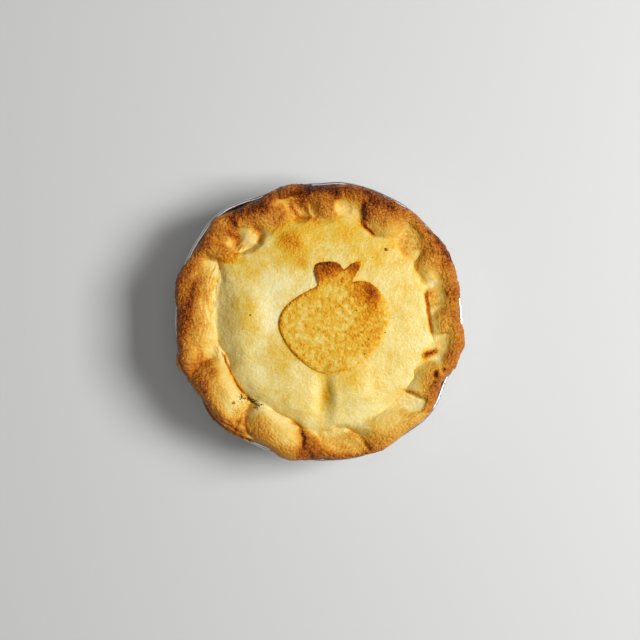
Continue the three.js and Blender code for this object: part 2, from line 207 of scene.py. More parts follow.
SEAM_CREASE = [  # how deep the crease is
    (150, 0.3), (153, 1.1), (160, 1.0), (168, 0.8), (176, 0.3), (188, 0.1), (194, 0.8), (203, 0.8),
    (209, 0.2), (216, 1.0), (222, 1.2), (228, 1.2), (234, 1.0), (239, 0.2), (247, 0.6), (258, 0.9),
    (264, 0.3), (270, 0.0), (279, 0.3), (290, 0.0), (322, 0.6), (328, 0.9), (334, 0.8), (340, 0.0),
    (355, 0.4), (8, 0.5), (16, 0.5), (20, 0.0), (53, 0.0), (58, 1.0), (66, 1.0), (71, 0.2), (82, 0.0),
    (95, 0.2), (104, 0.4), (108, 0.0), (122, 0.0), (126, 0.9), (137, 0.8), (143, 0.0),
]
LID_FALLS_FROM = [  # the radius where the lid starts to fall
    (140, 44.0), (152, 42.5), (158, 38.5), (166, 35.0), (176, 33.5), (202, 33.0), (214, 36.0),
    (230, 37.5), (246, 36.5), (262, 38.0), (300, 42.0),
]
LID_FALLS_BY = [  # and how far it has fallen at the seam
    (100, 0.0), (147, 0.0), (153, 3.2), (160, 3.6), (172, 4.2), (202, 4.2), (216, 2.9), (234, 1.9),
    (250, 1.8), (258, 1.8), (266, 1.0), (285, 0.4), (300, 0.0),
]
STEP_SHARP, STEP_SOFT = 0.3, 2.6  # half widths of the step from lid to rim


def seam(deg):
    return round_the_rim(SEAM, deg)


def lid_fall(deg):
    return round_the_rim(LID_FALLS_BY, deg)


def step_share(radius, deg):
    """0 on the lid, 1 on the rim."""
    half_step = mix(STEP_SOFT, STEP_SHARP, round_the_rim(SEAM_SHARP, deg))
    return ease((radius - seam(deg)) / (2 * half_step) + 0.5)


print("seam from", seam(every_degree).min(), "to", seam(every_degree).max(), "mm")

# %% [markdown]
# The top of the pie is one height for each place, worked out in layers.
# First comes the lid, a low dome with fruit pushing up under it.
# Around it lies the pressed band that the folds stand on.

# %% The lid and the pressed band
Bump = namedtuple("Bump", "x y across along rise")
LID_BUMPS = [
    Bump(14.0, -29.0, 10.0, 9.5, 1.9),
    Bump(-12.0, -30.0, 11.0, 9.0, 1.1),
    Bump(-31.0, 4.0, 7.5, 12.0, 1.7),
    Bump(-10.0, 34.0, 12.0, 7.0, 0.9),
    Bump(20.0, 22.0, 14.0, 12.0, 0.5),
    Bump(2.4, -31.5, 3.4, 9.0, -2.1),
    Bump(-0.4, -32.0, 2.2, 8.0, -0.8),
    Bump(6.0, -32.0, 2.6, 8.0, 0.8),
]
RIM_PUFFS = [
    Bump(-30.8, 36.6, 4.0, 4.4, 2.3),
]
LID_TOP_Z, LID_FALL, LID_CROWN, LID_RADIUS = 39.4, 2.2, 2.6, 46.4
LID_FLANK = 1.9  # how late the flank steepens
RIM_FOOT_Z, RIM_SINK, RIM_RISE = 35.9, 0.4, 2.3


def on_plane(radius, deg):
    return radius * np.cos(np.radians(deg)), radius * np.sin(np.radians(deg))


def humps(bumps, x, y):
    total = 0.0
    for bump in bumps:
        away = ((x - bump.x) / bump.across) ** 2 + ((y - bump.y) / bump.along) ** 2
        total = total + bump.rise * np.exp(-away)
    return total


def lid_dome(radius, deg):
    start = round_the_rim(LID_FALLS_FROM, deg)
    down_flank = np.clip((radius - start) / (seam(deg) - start), 0.0, 1.15)
    dome = LID_TOP_Z - LID_FALL * (radius / LID_RADIUS) ** LID_CROWN
    return dome - lid_fall(deg) * down_flank ** LID_FLANK + humps(LID_BUMPS, *on_plane(radius, deg))


def rim_band(radius, deg):
    out = (radius - seam(deg)) / (crust_edge(deg) - seam(deg))
    return RIM_FOOT_Z - RIM_SINK * lid_fall(deg) + RIM_RISE * ease((out - 0.25) / 0.5)


print("lid", float(lid_dome(0.0, 0.0)), "mm up in the middle, band", float(rim_band(55.0, 0.0)), "mm")

# %% [markdown]
# A fold is a hump and a press is a bowl. They could be modelled one by one and joined,
# but a formula keeps them one skin. Each is written as a spread: 0 in its middle and 1 round its outside.
# The height is worked out from that one number, and so is the browning later.

# %% How far a place is from a fold or a press
PRESS_SQUARE = 2.6  # how square a press is across the rim


def along_and_across(radius, deg, at, middle, lean):
    across = radius - middle
    return np.radians(turn_between(deg, at + lean * across)) * middle, across


def fold_spread(fold, radius, deg):
    """0 on the crest of a fold, 1 round its foot."""
    along, across = along_and_across(radius, deg, (fold.start + fold.end) / 2, fold.crest, fold.lean)
    across = across - fold.slant * along
    half_width = math.radians((fold.end - fold.start) / 2) * fold.crest
    half_length = np.where(across < 0, fold.reach, fold.out)
    return (np.abs(along) / half_width) ** fold.full + (np.abs(across) / half_length) ** fold.brow


def press_spread(press, radius, deg):
    """0 in the middle of a press, 1 round its brim."""
    along, across = along_and_across(radius, deg, press.at, press.radius, press.lean)
    return (np.abs(along) / press.along) ** press.flat + (np.abs(across) / press.across) ** PRESS_SQUARE


print("spread at the end of the first fold", float(fold_spread(FOLDS[0], FOLDS[0].crest, FOLDS[0].end)))

# %% [markdown]
# Where two folds of dough meet, a line stays. Each is drawn as a path of a few places.
# It is deepest along the path, and fades out at its sides and its two ends.

# %% Creases between the folds
Crease = namedtuple("Crease", "depth width path")
CREASES = [  # each path is a few places by angle and radius
    Crease(1.0, 0.7, [(147.5, 52.5), (150.4, 48.8), (155, 45.7), (158, 44.4)]),
    Crease(1.1, 0.9, [(193.5, 52.0), (196, 53.2), (199, 54.6), (201.7, 58.0), (202.6, 60.7)]),
    Crease(0.7, 1.3, [(199.2, 54.4), (198.6, 50.0), (197.8, 46.5)]),
    Crease(0.8, 1.6, [(-131.0, 45.5), (-130.4, 49.0), (-129.8, 53.0), (-128.8, 58.5)]),
    Crease(1.3, 0.7, [(-127.8, 50.0), (-126.8, 54.0), (-123.5, 57.0), (-118, 58.4), (-112, 59.8)]),
    Crease(1.2, 0.5, [(191.5, 61.4), (194.5, 62.4), (198.5, 62.5), (202.0, 61.4)]),
    Crease(0.9, 0.5, [(-143, 60.2), (-134, 59.6), (-128, 58.4), (-119, 59.0)]),
    Crease(1.0, 0.45, [(-134, 45.4), (-140, 44.9), (-149, 44.3)]),
    Crease(0.7, 1.3, [(-98.5, 57.0), (-97.4, 50.0), (-100.5, 45.0), (-107, 43.4)]),
    Crease(0.8, 0.45, [(-102, 44.4), (-113, 43.0), (-119, 42.6)]),
    Crease(1.0, 1.1, [(-84, 44.8), (-76.5, 46.2), (-73, 50.2), (-70, 55.0), (-69, 59.5)]),
    Crease(0.9, 0.6, [(-40.4, 45.5), (-38.8, 51.5), (-36.6, 57.5)]),
    Crease(1.0, 0.7, [(17, 47.4), (8, 46.8), (0, 46.7), (-4, 47.4), (-7.5, 49.4)]),
    Crease(1.4, 0.6, [(67.5, 46.2), (62.0, 44.3), (56.0, 42.6)]),
    Crease(1.1, 1.3, [(127.5, 60.5), (131.0, 57.0), (133.0, 53.0), (136.7, 49.6), (139.5, 46.5)]),
    Crease(0.5, 0.8, [(94.5, 54.0), (94.8, 48.0), (91.5, 43.0)]),
    Crease(2.2, 1.6, [(127, 50.6), (124.2, 47.5), (124.0, 45.0), (126.0, 43.0), (130, 42.6)]),
    Crease(1.2, 1.2, [(128, 42.5), (132, 43.0), (136, 44.3), (139.6, 45.6)]),
]
CREASE_FADES = 2.5  # over this length at each end


def crease_share(crease, x, y):
    """1 in the bottom of a crease, fading to 0 at its sides and its ends."""
    knots = [on_plane(radius, deg) for deg, radius in crease.path]
    share = np.zeros(np.shape(x))
    for i, ((ax, ay), (bx, by)) in enumerate(zip(knots, knots[1:])):
        length = math.hypot(bx - ax, by - ay)
        t = np.clip(((x - ax) * (bx - ax) + (y - ay) * (by - ay)) / length ** 2, 0.0, 1.0)
        side = np.hypot(x - ax - t * (bx - ax), y - ay - t * (by - ay))
        near_end = ease(t * length / CREASE_FADES) if i == 0 else 1.0
        near_end = near_end * (ease((1 - t) * length / CREASE_FADES) if i == len(knots) - 2 else 1.0)
        share = np.maximum(share, near_end * np.exp(-((side / crease.width) ** 2)))
    return share


print(len(CREASES), "creases")

# %% [markdown]
# Hands leave finer marks: ridges where a finger dragged the dough, wrinkles where it was rolled too tight,
# and faint lines where it was drawn outwards. All are noise, stretched along the way the hand went.
# Fingers are not exact either, so every place is shifted a little before its height is looked up.
# The last number of each noise is its seed, and no two share one.

# %% Marks of the hand
DRAG_RIDGE, DRAG_SPACING, DRAG_LENGTH = 0.5, 1.1, 8.0
WRINKLE_SPACING, WRINKLE_LENGTH = 0.9, 2.0
PULL_SPACING, PULL_LENGTH = 0.8, 6.0
HAND_OFF, HAND_TREMBLE = 0.55, 0.22  # how far a place is off, over wide and over narrow stretches
RimSpot = namedtuple("RimSpot", "at radius along across value")
WRINKLES = [  # where the dough was rolled so tight that its skin wrinkled along the rim, and how high
    RimSpot(165, 48.0, 11.0, 3.4, 0.55),
    RimSpot(154, 50.5, 5.0, 4.0, 0.30),
    RimSpot(199, 44.6, 5.0, 1.8, 0.40),
    RimSpot(138, 46.6, 3.5, 3.6, 0.50),
    RimSpot(-132.5, 50.0, 2.6, 4.5, 0.14),
    RimSpot(181, 48.0, 8.0, 2.2, 0.22),
    RimSpot(131, 47.5, 5.0, 4.5, 0.14),
    RimSpot(0, 51.0, 6.0, 5.0, 0.16),
]


def flat_places(radius, deg):
    return np.stack([*on_plane(radius, deg), 0 * radius], 1)


def spot_share(spot, radius, deg):
    along, across = along_and_across(radius, deg, spot.at, spot.radius, 0.0)
    return np.exp(-((along / spot.along) ** 2) - (across / spot.across) ** 2)


def drag_marks(press, radius, deg):
    """Fine ridges where a finger dragged the dough outwards, inside its press only."""
    along, across = along_and_across(radius, deg, press.at, press.radius, press.lean)
    place = np.stack([along, across, 0 * along + press.at], 1)
    along = along + 0.9 * lumps(place, 3.2, 42)
    ridges = lumps(np.stack([along / DRAG_SPACING, across / DRAG_LENGTH, 0 * along + press.at], 1), 1.0, 41)
    patchy = ease(0.8 + 1.4 * lumps(place, 2.6, 43))
    inside = ease(1.3 * (1 - press_spread(press, radius, deg)))
    return press.drag * DRAG_RIDGE * inside * patchy * ridges


def wrinkles(radius, deg):
    wander = radius + 0.9 * lumps(flat_places(radius, deg), 2.4, 44)
    place = [wander / WRINKLE_SPACING, np.radians(deg) * radius / WRINKLE_LENGTH, 0 * radius]
    height = sum(spot.value * spot_share(spot, radius, deg) for spot in WRINKLES)
    return height * lumps(np.stack(place, 1), 1.0, 45)


def pulled(radius, deg):
    """Faint lines across the rim, from -1 to 1, where the dough was drawn outwards."""
    place = flat_places(radius, deg)
    along = np.radians(deg) * radius + 1.6 * lumps(place, 6.0, 46)
    lines = lumps(np.stack([along / PULL_SPACING, radius / PULL_LENGTH, 0 * radius], 1), 1.0, 47)
    return lines * ease(0.6 + 1.2 * lumps(place, 5.0, 48)) * ease((radius - seam(deg)) / 3.0)


def by_hand(radius, deg):
    """The same places as a hand would put them: off by up to half a millimetre or so."""
    place = flat_places(radius, deg)
    out = HAND_OFF * lumps(place, 6.0, 31) + HAND_TREMBLE * lumps(place, 2.4, 32)
    side = HAND_OFF * lumps(place, 6.0, 33) + HAND_TREMBLE * lumps(place, 2.4, 34)
    steady = ease(radius / 20.0)
    return np.maximum(radius + out * steady, 0.0), deg + np.degrees(side * steady / np.maximum(radius, 5.0))


print(len(WRINKLES), "wrinkled places, drag marks in", len(PRESSES), "presses")

# %% [markdown]
# Now the layers are put together. The folds are raised and the presses are sunk,
# each blended into what is there. Then the finer marks are added.
# The creases are cut last, so that nothing fills them again.

# %% Height of the dough
FOLD_FOOT_Z, PRESS_BLEND = 34.4, 0.8
FOLD_BLENDS = [(155, 1.4), (170, 2.2), (190, 2.4), (197, 1.4)]  # fillet at the foot of the folds, by angle
SEAM_CREASE_WIDTH = 0.6


def dough_height(radius, deg):
    radius, deg = by_hand(radius, deg)
    z = mix(lid_dome(radius, deg), rim_band(radius, deg), step_share(radius, deg))
    fillet = round_the_rim(FOLD_BLENDS, deg)
    for fold in FOLDS:
        raised = (fold.top - FOLD_FOOT_Z) * (1 - fold_spread(fold, radius, deg))
        z = blend_higher(z, FOLD_FOOT_Z + raised, fillet)
    for press in PRESSES:
        z = blend_lower(z, press.floor + press.depth * press_spread(press, radius, deg), PRESS_BLEND)
        z = z + drag_marks(press, radius, deg)
    x, y = on_plane(radius, deg)
    z = z + humps(RIM_PUFFS, x, y) + wrinkles(radius, deg)
    for crease in CREASES:
        z = z - crease.depth * crease_share(crease, x, y)
    return z - round_the_rim(SEAM_CREASE, deg) * np.exp(-(((radius - seam(deg)) / SEAM_CREASE_WIDTH) ** 2))


print("dough over the middle", float(dough_height(np.array([0.01]), np.array([0.0]))[0]), "mm up")

# %% [markdown]
# Every round piece here starts as a flat sheet, as dough does.
# The sheet is a grid made by one operator, and its rows are then laid along rings, one ring to a row.
# The first row and the last close to a point, the two ends of each row meet, and doubled points are merged.
# That gives a closed body with even quads, whose every point is known by its row and its angle.

# %% Roll a flat sheet into a closed body
def read_points(mesh):
    flat = np.empty(len(mesh.vertices) * 3, np.float32)
    mesh.vertices.foreach_get("co", flat)
    return flat.reshape(-1, 3).astype(float)


def write_points(mesh, points):
    mesh.vertices.foreach_set("co", points.astype(np.float32).ravel())
    mesh.update()


def rolled_body(name, rings):
    """rings is a list of 3 by steps arrays in millimetres, from the underside's middle to the top's."""
    table = np.array(rings)
    steps = table.shape[2]
    bm = bmesh.new()
    bmesh.ops.create_grid(bm, x_segments=steps, y_segments=len(rings) - 1, size=1.0)
    mesh = bpy.data.meshes.new(name)
    bm.to_mesh(mesh)
    bm.free()
    flat = read_points(mesh)
    column = np.rint((flat[:, 0] + 1) / 2 * steps).astype(int) % steps
    row = np.rint((flat[:, 1] + 1) / 2 * (len(rings) - 1)).astype(int)
    write_points(mesh, table[row, :, column] * MM)
    bm = bmesh.new()
    bm.from_mesh(mesh)
    bmesh.ops.remove_doubles(bm, verts=bm.verts, dist=1e-7)
    bmesh.ops.recalc_face_normals(bm, faces=bm.faces)
    bm.to_mesh(mesh)
    bm.free()
    mesh.shade_smooth()
    piece = bpy.data.objects.new(name, mesh)
    bpy.context.scene.collection.objects.link(piece)
    return piece


def ring(radius, height, deg):
    return [*on_plane(np.broadcast_to(radius, deg.shape), deg), np.broadcast_to(height, deg.shape)]


def push_along_normals(piece, distance_mm):
    """The sculptor's step: every point is moved along its own normal."""
    normals = np.empty(len(piece.data.vertices) * 3, np.float32)
    piece.data.vertex_normals.foreach_get("vector", normals)
    points = read_points(piece.data)
    write_points(piece.data, points + normals.reshape(-1, 3) * (distance_mm * MM)[:, None])


def paint(piece, name, values):
    """Stores one number for each point of the mesh, for its material to read."""
    attribute = piece.data.attributes.new(name, "FLOAT", "POINT")
    attribute.data.foreach_set("value", np.clip(values, 0.0, 1.0).astype(np.float32))


def polar(points_mm):
    x, y = points_mm[:, 0], points_mm[:, 1]
    return np.hypot(x, y), np.degrees(np.arctan2(y, x))


print("two points of a ring", np.round(ring(10.0, 0.0, np.array([0.0, 90.0])), 3).T.tolist(), "mm")

# %% [markdown]
# The pastry case is the bottom crust with its crimped rim. Its floor and wall are hidden in the tin.
# Where it comes over the tin's rolled rim it turns out into a thick lip with a rounded nose.
# Two layers of dough meet on that nose, so a shallow groove runs round it.
# At one stretch the lower layer sticks out under the upper one as a ledge.
# A profile swept along a circle would be the same all the way round, so every ring is worked out anew.

# %% Rings of the pastry case
TIN_BASE_RADIUS, TIN_CORNER, TIN_RIM_Z, TIN_BEAD = 45.0, 2.2, 31.0, 0.9
FOIL_TO_DOUGH = 1.45  # from the outermost pleat to the dough inside
LIP_CLEAR = 0.3
OVER_RIM = TIN_RIM_Z + TIN_BEAD + LIP_CLEAR  # underside of the crust's lip
CASE_FLOOR_Z, WALL_FROM_Z, WALL_TO_Z = 0.75, 3.0, 28.0
HIDDEN_SEAT_Z, SEAT_INSET = 29.0, 0.4  # the hidden top of the case under the lid
NOSE_WIDTH, NOSE_LIFT, LIP_INSET, LIP_OVER = 4.2, 1.6, 1.2, 0.8
EDGE_Z = OVER_RIM + NOSE_LIFT
LEDGE_AT, LEDGE_HALF, LEDGE_OUT, LEDGE_TURN = -134.0, 22.0, 1.0, 12.0
LAYER_GROOVE, GROOVE_TURN, GROOVE_HALF = 0.45, 8.0, 9.0
TUCK, TUCK_SINK = 1.6, 0.9  # how far each sheet runs on under the other at the seam, and sinks
CASE_STEPS, NOSE_ROWS, BAND_ROWS = 880, 34, 64
case_deg = np.arange(CASE_STEPS) * 360.0 / CASE_STEPS


def tin_wall(deg, z):
    return mix(TIN_BASE_RADIUS, tin_rim(deg) - 2 * TIN_BEAD, z / TIN_RIM_Z)


def wall_ring(z, height):
    """One ring of the hidden wall: as wide as the tin is at z, less the foil."""
    return ring(tin_wall(case_deg, z) - FOIL_TO_DOUGH, height, case_deg)


def nose_ring(turn):
    """One ring of the rounded edge: turn is 90 on top, 0 at the outermost line, -90 underneath."""
    up, out = math.sin(math.radians(turn)), math.cos(math.radians(turn))
    edge = crust_edge(case_deg) - LAYER_GROOVE * math.exp(-(((turn - GROOVE_TURN) / GROOVE_HALF) ** 2))
    if turn >= 0:
        radius = edge - NOSE_WIDTH * (1 - out)
        return ring(radius, mix(EDGE_Z, dough_height(radius, case_deg), up), case_deg)
    ledge = LEDGE_OUT * ease(1.5 - 1.5 * np.abs(turn_between(case_deg, LEDGE_AT)) / LEDGE_HALF)
    radius = edge + ledge * min(1.0, -turn / LEDGE_TURN) - LIP_INSET * (1 - out)
    radius = np.maximum(radius, tin_wall(case_deg, TIN_RIM_Z) - LIP_OVER)
    return ring(radius, EDGE_Z + NOSE_LIFT * up, case_deg)


def sunk(past):
    """How far a sheet has sunk this far past the seam: nothing at first, then more and more."""
    return TUCK_SINK * np.clip(past / TUCK, 0, 1) ** 2


def band_ring(share):
    """One ring of the crimped band: share is 1 where the nose starts and 0 under the lid's edge."""
    inner = seam(case_deg) - TUCK
    radius = mix(inner, crust_edge(case_deg) - NOSE_WIDTH, share)
    return ring(radius, dough_height(radius, case_deg) - sunk(seam(case_deg) - radius), case_deg)


case_rings = [ring(radius, CASE_FLOOR_Z, case_deg) for radius in (0.0, TIN_BASE_RADIUS - TIN_CORNER)]
case_rings += [wall_ring(z, z) for z in (WALL_FROM_Z, WALL_TO_Z)]
case_rings.append(wall_ring(TIN_RIM_Z, OVER_RIM))
case_rings += [nose_ring(turn) for turn in np.linspace(-90, 87, NOSE_ROWS)]
case_rings += [band_ring(share) for share in np.linspace(1, 0, BAND_ROWS)]
case_rings += [ring(radius, HIDDEN_SEAT_Z, case_deg) for radius in (seam(case_deg) - TUCK - SEAT_INSET, 0.0)]
pastry_case = rolled_body("baked_case", case_rings)
print("case", len(pastry_case.data.vertices), "points", len(pastry_case.data.polygons), "faces")

# %% [markdown]
# The lid is a thin round of dough laid inside the rim. It runs on a little way under the folds,
# sinking as it goes, so that the eye sees one skin where the two were pressed together
# and an edge where they were not. A ball pressed flat would do for the dome alone,
# but the lid has to meet that wandering seam, so it is laid in rings too.

# %% Rings of the pastry lid
LID_STEPS, LID_ROWS = 540, 104
LID_THICKNESS, LID_UNDERCUT = 3.6, 1.0
lid_deg = np.arange(LID_STEPS) * 360.0 / LID_STEPS
lid_edge = seam(lid_deg) + TUCK


def lid_ring(share):
    radius = np.maximum(lid_edge * share, 1e-4)
    return ring(radius, dough_height(radius, lid_deg) - sunk(radius - seam(lid_deg)), lid_deg)


lid_rings = [ring(0.0, LID_TOP_Z - LID_THICKNESS, lid_deg)]
lid_rings.append(ring(lid_edge - LID_UNDERCUT, lid_dome(lid_edge, lid_deg) - LID_THICKNESS, lid_deg))
lid_rings += [lid_ring(share) for share in np.linspace(1, 0, LID_ROWS)]
pastry_lid = rolled_body("baked_lid", lid_rings)
print("lid", len(pastry_lid.data.vertices), "points", len(pastry_lid.data.polygons), "faces")

# %% [markdown]
# The little apple was pressed out of rolled dough with a cutter, so its outline is a few smooth curves
# and short straight cuts. Each stretch is a Bezier curve: two handles and an end point.
# Rings of that outline, drawn in towards a point that sees all of it, make the plate.

# %% Outline of the cut-out apple
APPLE_START = (14.3, 17.0)
APPLE_CURVES = [
    ((21.5, 19.6), (28.6, 13.0), (28.8, 1.2)),
    ((28.9, -7.5), (20.5, -15.4), (13.2, -19.8)),
    ((10.0, -21.6), (7.0, -20.4), (2.8, -22.2)),
    ((-5.5, -21.6), (-17.4, -9.0), (-17.6, -1.0)),
    ((-18.0, 7.0), (-8.0, 12.0), (-2.2, 14.8)),
    ((-0.8, 15.5), (-0.5, 16.4), (-0.8, 17.6)),
    ((-1.3, 19.1), (-1.9, 20.6), (-2.2, 22.0)),
    ((-2.6, 24.2), (-1.7, 25.2), (0.2, 25.5)),
    ((3.0, 26.0), (6.4, 26.0), (8.0, 24.9)),
    ((8.8, 24.2), (8.9, 23.2), (9.6, 22.7)),
    ((10.4, 22.3), (11.0, 22.5), (11.6, 23.0)),
    ((12.4, 23.8), (13.0, 24.6), (14.2, 25.0)),
    ((15.4, 25.6), (16.6, 26.4), (17.2, 25.6)),
    ((17.6, 24.9), (16.7, 23.0), (16.0, 21.4)),
    ((15.4, 20.0), (13.2, 17.4), (14.3, 17.0)),
]
APPLE_MIDDLE = np.array([3.5, 1.5])
APPLE_STEPS, CURVE_POINTS = 420, 40


def apple_outline(steps):
    """Evenly spaced points round the outline, counter-clockwise."""
    drawn = []
    start = APPLE_START
    for handle_a, handle_b, end in APPLE_CURVES:
        knots = [Vector((*p, 0.0)) for p in (start, handle_a, handle_b, end)]
        drawn += interpolate_bezier(*knots, CURVE_POINTS)[:-1]
        start = end
    points = np.array([p[:2] for p in drawn])[::-1]
    closed = np.vstack([points, points[:1]])
    length = np.concatenate([[0.0], np.cumsum(np.hypot(*np.diff(closed, axis=0).T))])
    wanted = np.arange(steps) / steps * length[-1]
    return np.array([np.interp(wanted, length, closed[:, axis]) for axis in (0, 1)]), length[-1]


outline, apple_round = apple_outline(APPLE_STEPS)
print("apple outline", round(apple_round, 1), "mm round")

# %% [markdown]
# The cut-out is a thin plate that lies on the lid and bends with it, sunk into it a little.
# Its edge swelled in the oven, so a few rings turn over from the side to the top.
# A bevelled curve would do for a flat plate, but rings can follow the height of the dough below.

# %% Rings of the cut-out apple
APPLE_THICKNESS, APPLE_ROUNDING, APPLE_SUNK = 0.95, 1.5, 0.4
APPLE_EDGE_ROWS, APPLE_ROWS = 10, 66


def apple_ring(share, inset, lift):
    spokes = outline - APPLE_MIDDLE[:, None]
    length = np.hypot(*spokes)
    x, y = APPLE_MIDDLE[:, None] + spokes * (share * (length - inset) / length)
    return [x, y, dough_height(np.hypot(x, y), np.degrees(np.arctan2(y, x))) + lift]


apple_rings = [apple_ring(share, 0.0, -APPLE_SUNK) for share in (0.0, 0.5, 1.0)]
for turn in np.radians(np.linspace(0, 90, APPLE_EDGE_ROWS)):
    inset = APPLE_ROUNDING * (1 - math.cos(turn))
    lift = APPLE_THICKNESS * math.sin(turn)
    apple_rings.append(apple_ring(1.0, inset, lift))
for share in np.linspace(0.985, 0, APPLE_ROWS):
    apple_rings.append(apple_ring(share, APPLE_ROUNDING, APPLE_THICKNESS))
apple_cutout = rolled_body("baked_apple", apple_rings)
print("apple", len(apple_cutout.data.vertices), "points")

# %% [markdown]
# Foil tins are stamped from a flat disc, and the spare metal gathers in pleats that deepen up the wall.
# The top is rolled over into a bead. The sheet has an inside and an outside, so the rings run up one and down
# the other. One pleat could be copied round by an array, but no two are alike on real foil,
# so they are worked out all round and their depth and place wander a little.

# %% Rings of the foil tin
TIN_STEPS, WALL_ROWS, BEAD_ROWS = 1296, 12, 12
FOIL_SHEET = 0.25
PLEATS, PLEAT_DEPTH, PLEAT_SHARP, PLEAT_START = 72, 0.7, 2.4, 0.6
CRINKLE = 0.10
tin_deg = np.arange(TIN_STEPS) * 360.0 / TIN_STEPS
on_circle = np.array(ring(60.0, 0.0, tin_deg)).T
PLEAT_WANDER = 1.1 * lumps(on_circle, 9.0, 3)
PLEAT_VARIED = 0.75 + 0.35 * lumps(on_circle, 5.0, 4)
RIM_DENTS = ((0.13, 7.0, 5), (0.06, 2.2, 6), (0.05, 0.9, 8))  # height, width and seed of the noise
RIM_WAVE = sum(high * lumps(on_circle, wide, seed) for high, wide, seed in RIM_DENTS)


def pleated_wall(z, inside):
    up = z / TIN_RIM_Z
    pleat = ((1 - np.cos(np.radians(PLEATS * (tin_deg + PLEAT_WANDER)))) / 2) ** PLEAT_SHARP
    crinkle = CRINKLE * lumps(np.array(ring(60.0, z, tin_deg)).T, 3.5, 7)
    depth = PLEAT_DEPTH * PLEAT_VARIED * up ** PLEAT_START * pleat
    return ring(tin_wall(tin_deg, z) - depth + crinkle * up - FOIL_SHEET * inside, z, tin_deg)


def bead_ring(turn):
    middle = tin_rim(tin_deg) - TIN_BEAD + RIM_WAVE
    radius = middle + TIN_BEAD * math.cos(math.radians(turn))
    return ring(radius, TIN_RIM_Z + TIN_BEAD * math.sin(math.radians(turn)), tin_deg)


FOOT = TIN_BASE_RADIUS - TIN_CORNER
CORNER_RISE = 0.75 * TIN_CORNER
STAMPED_Z, RIDGE_Z = 0.5, 0.35  # the stamped-up middle of the base, and a ridge near its edge
BASE_RINGS = [
    (0.0, STAMPED_Z), (24.0, STAMPED_Z), (24.8, RIDGE_Z), (25.4, 0.0),
    (38.6, 0.0), (39.2, RIDGE_Z), (39.8, 0.0), (FOOT, 0.0),
]
for turn in np.radians((25, 50, 75)):
    BASE_RINGS.append((FOOT + TIN_CORNER * math.sin(turn), CORNER_RISE * (1 - math.cos(turn))))
wall_heights = np.linspace(TIN_CORNER, TIN_RIM_Z - TIN_BEAD, WALL_ROWS)
tin_rings = [ring(radius, height, tin_deg) for radius, height in BASE_RINGS]
tin_rings += [pleated_wall(z, 0) for z in wall_heights]
tin_rings += [bead_ring(turn) for turn in np.linspace(-95, 170, BEAD_ROWS)]
tin_rings += [pleated_wall(z, 1) for z in wall_heights[::-1]]
tin_rings += [ring(radius, STAMPED_Z + FOIL_SHEET, tin_deg) for radius in (FOOT - FOIL_SHEET, 0.0)]
foil_tin = rolled_body("pleated_foil", tin_rings)
print("tin", len(foil_tin.data.vertices), "points")
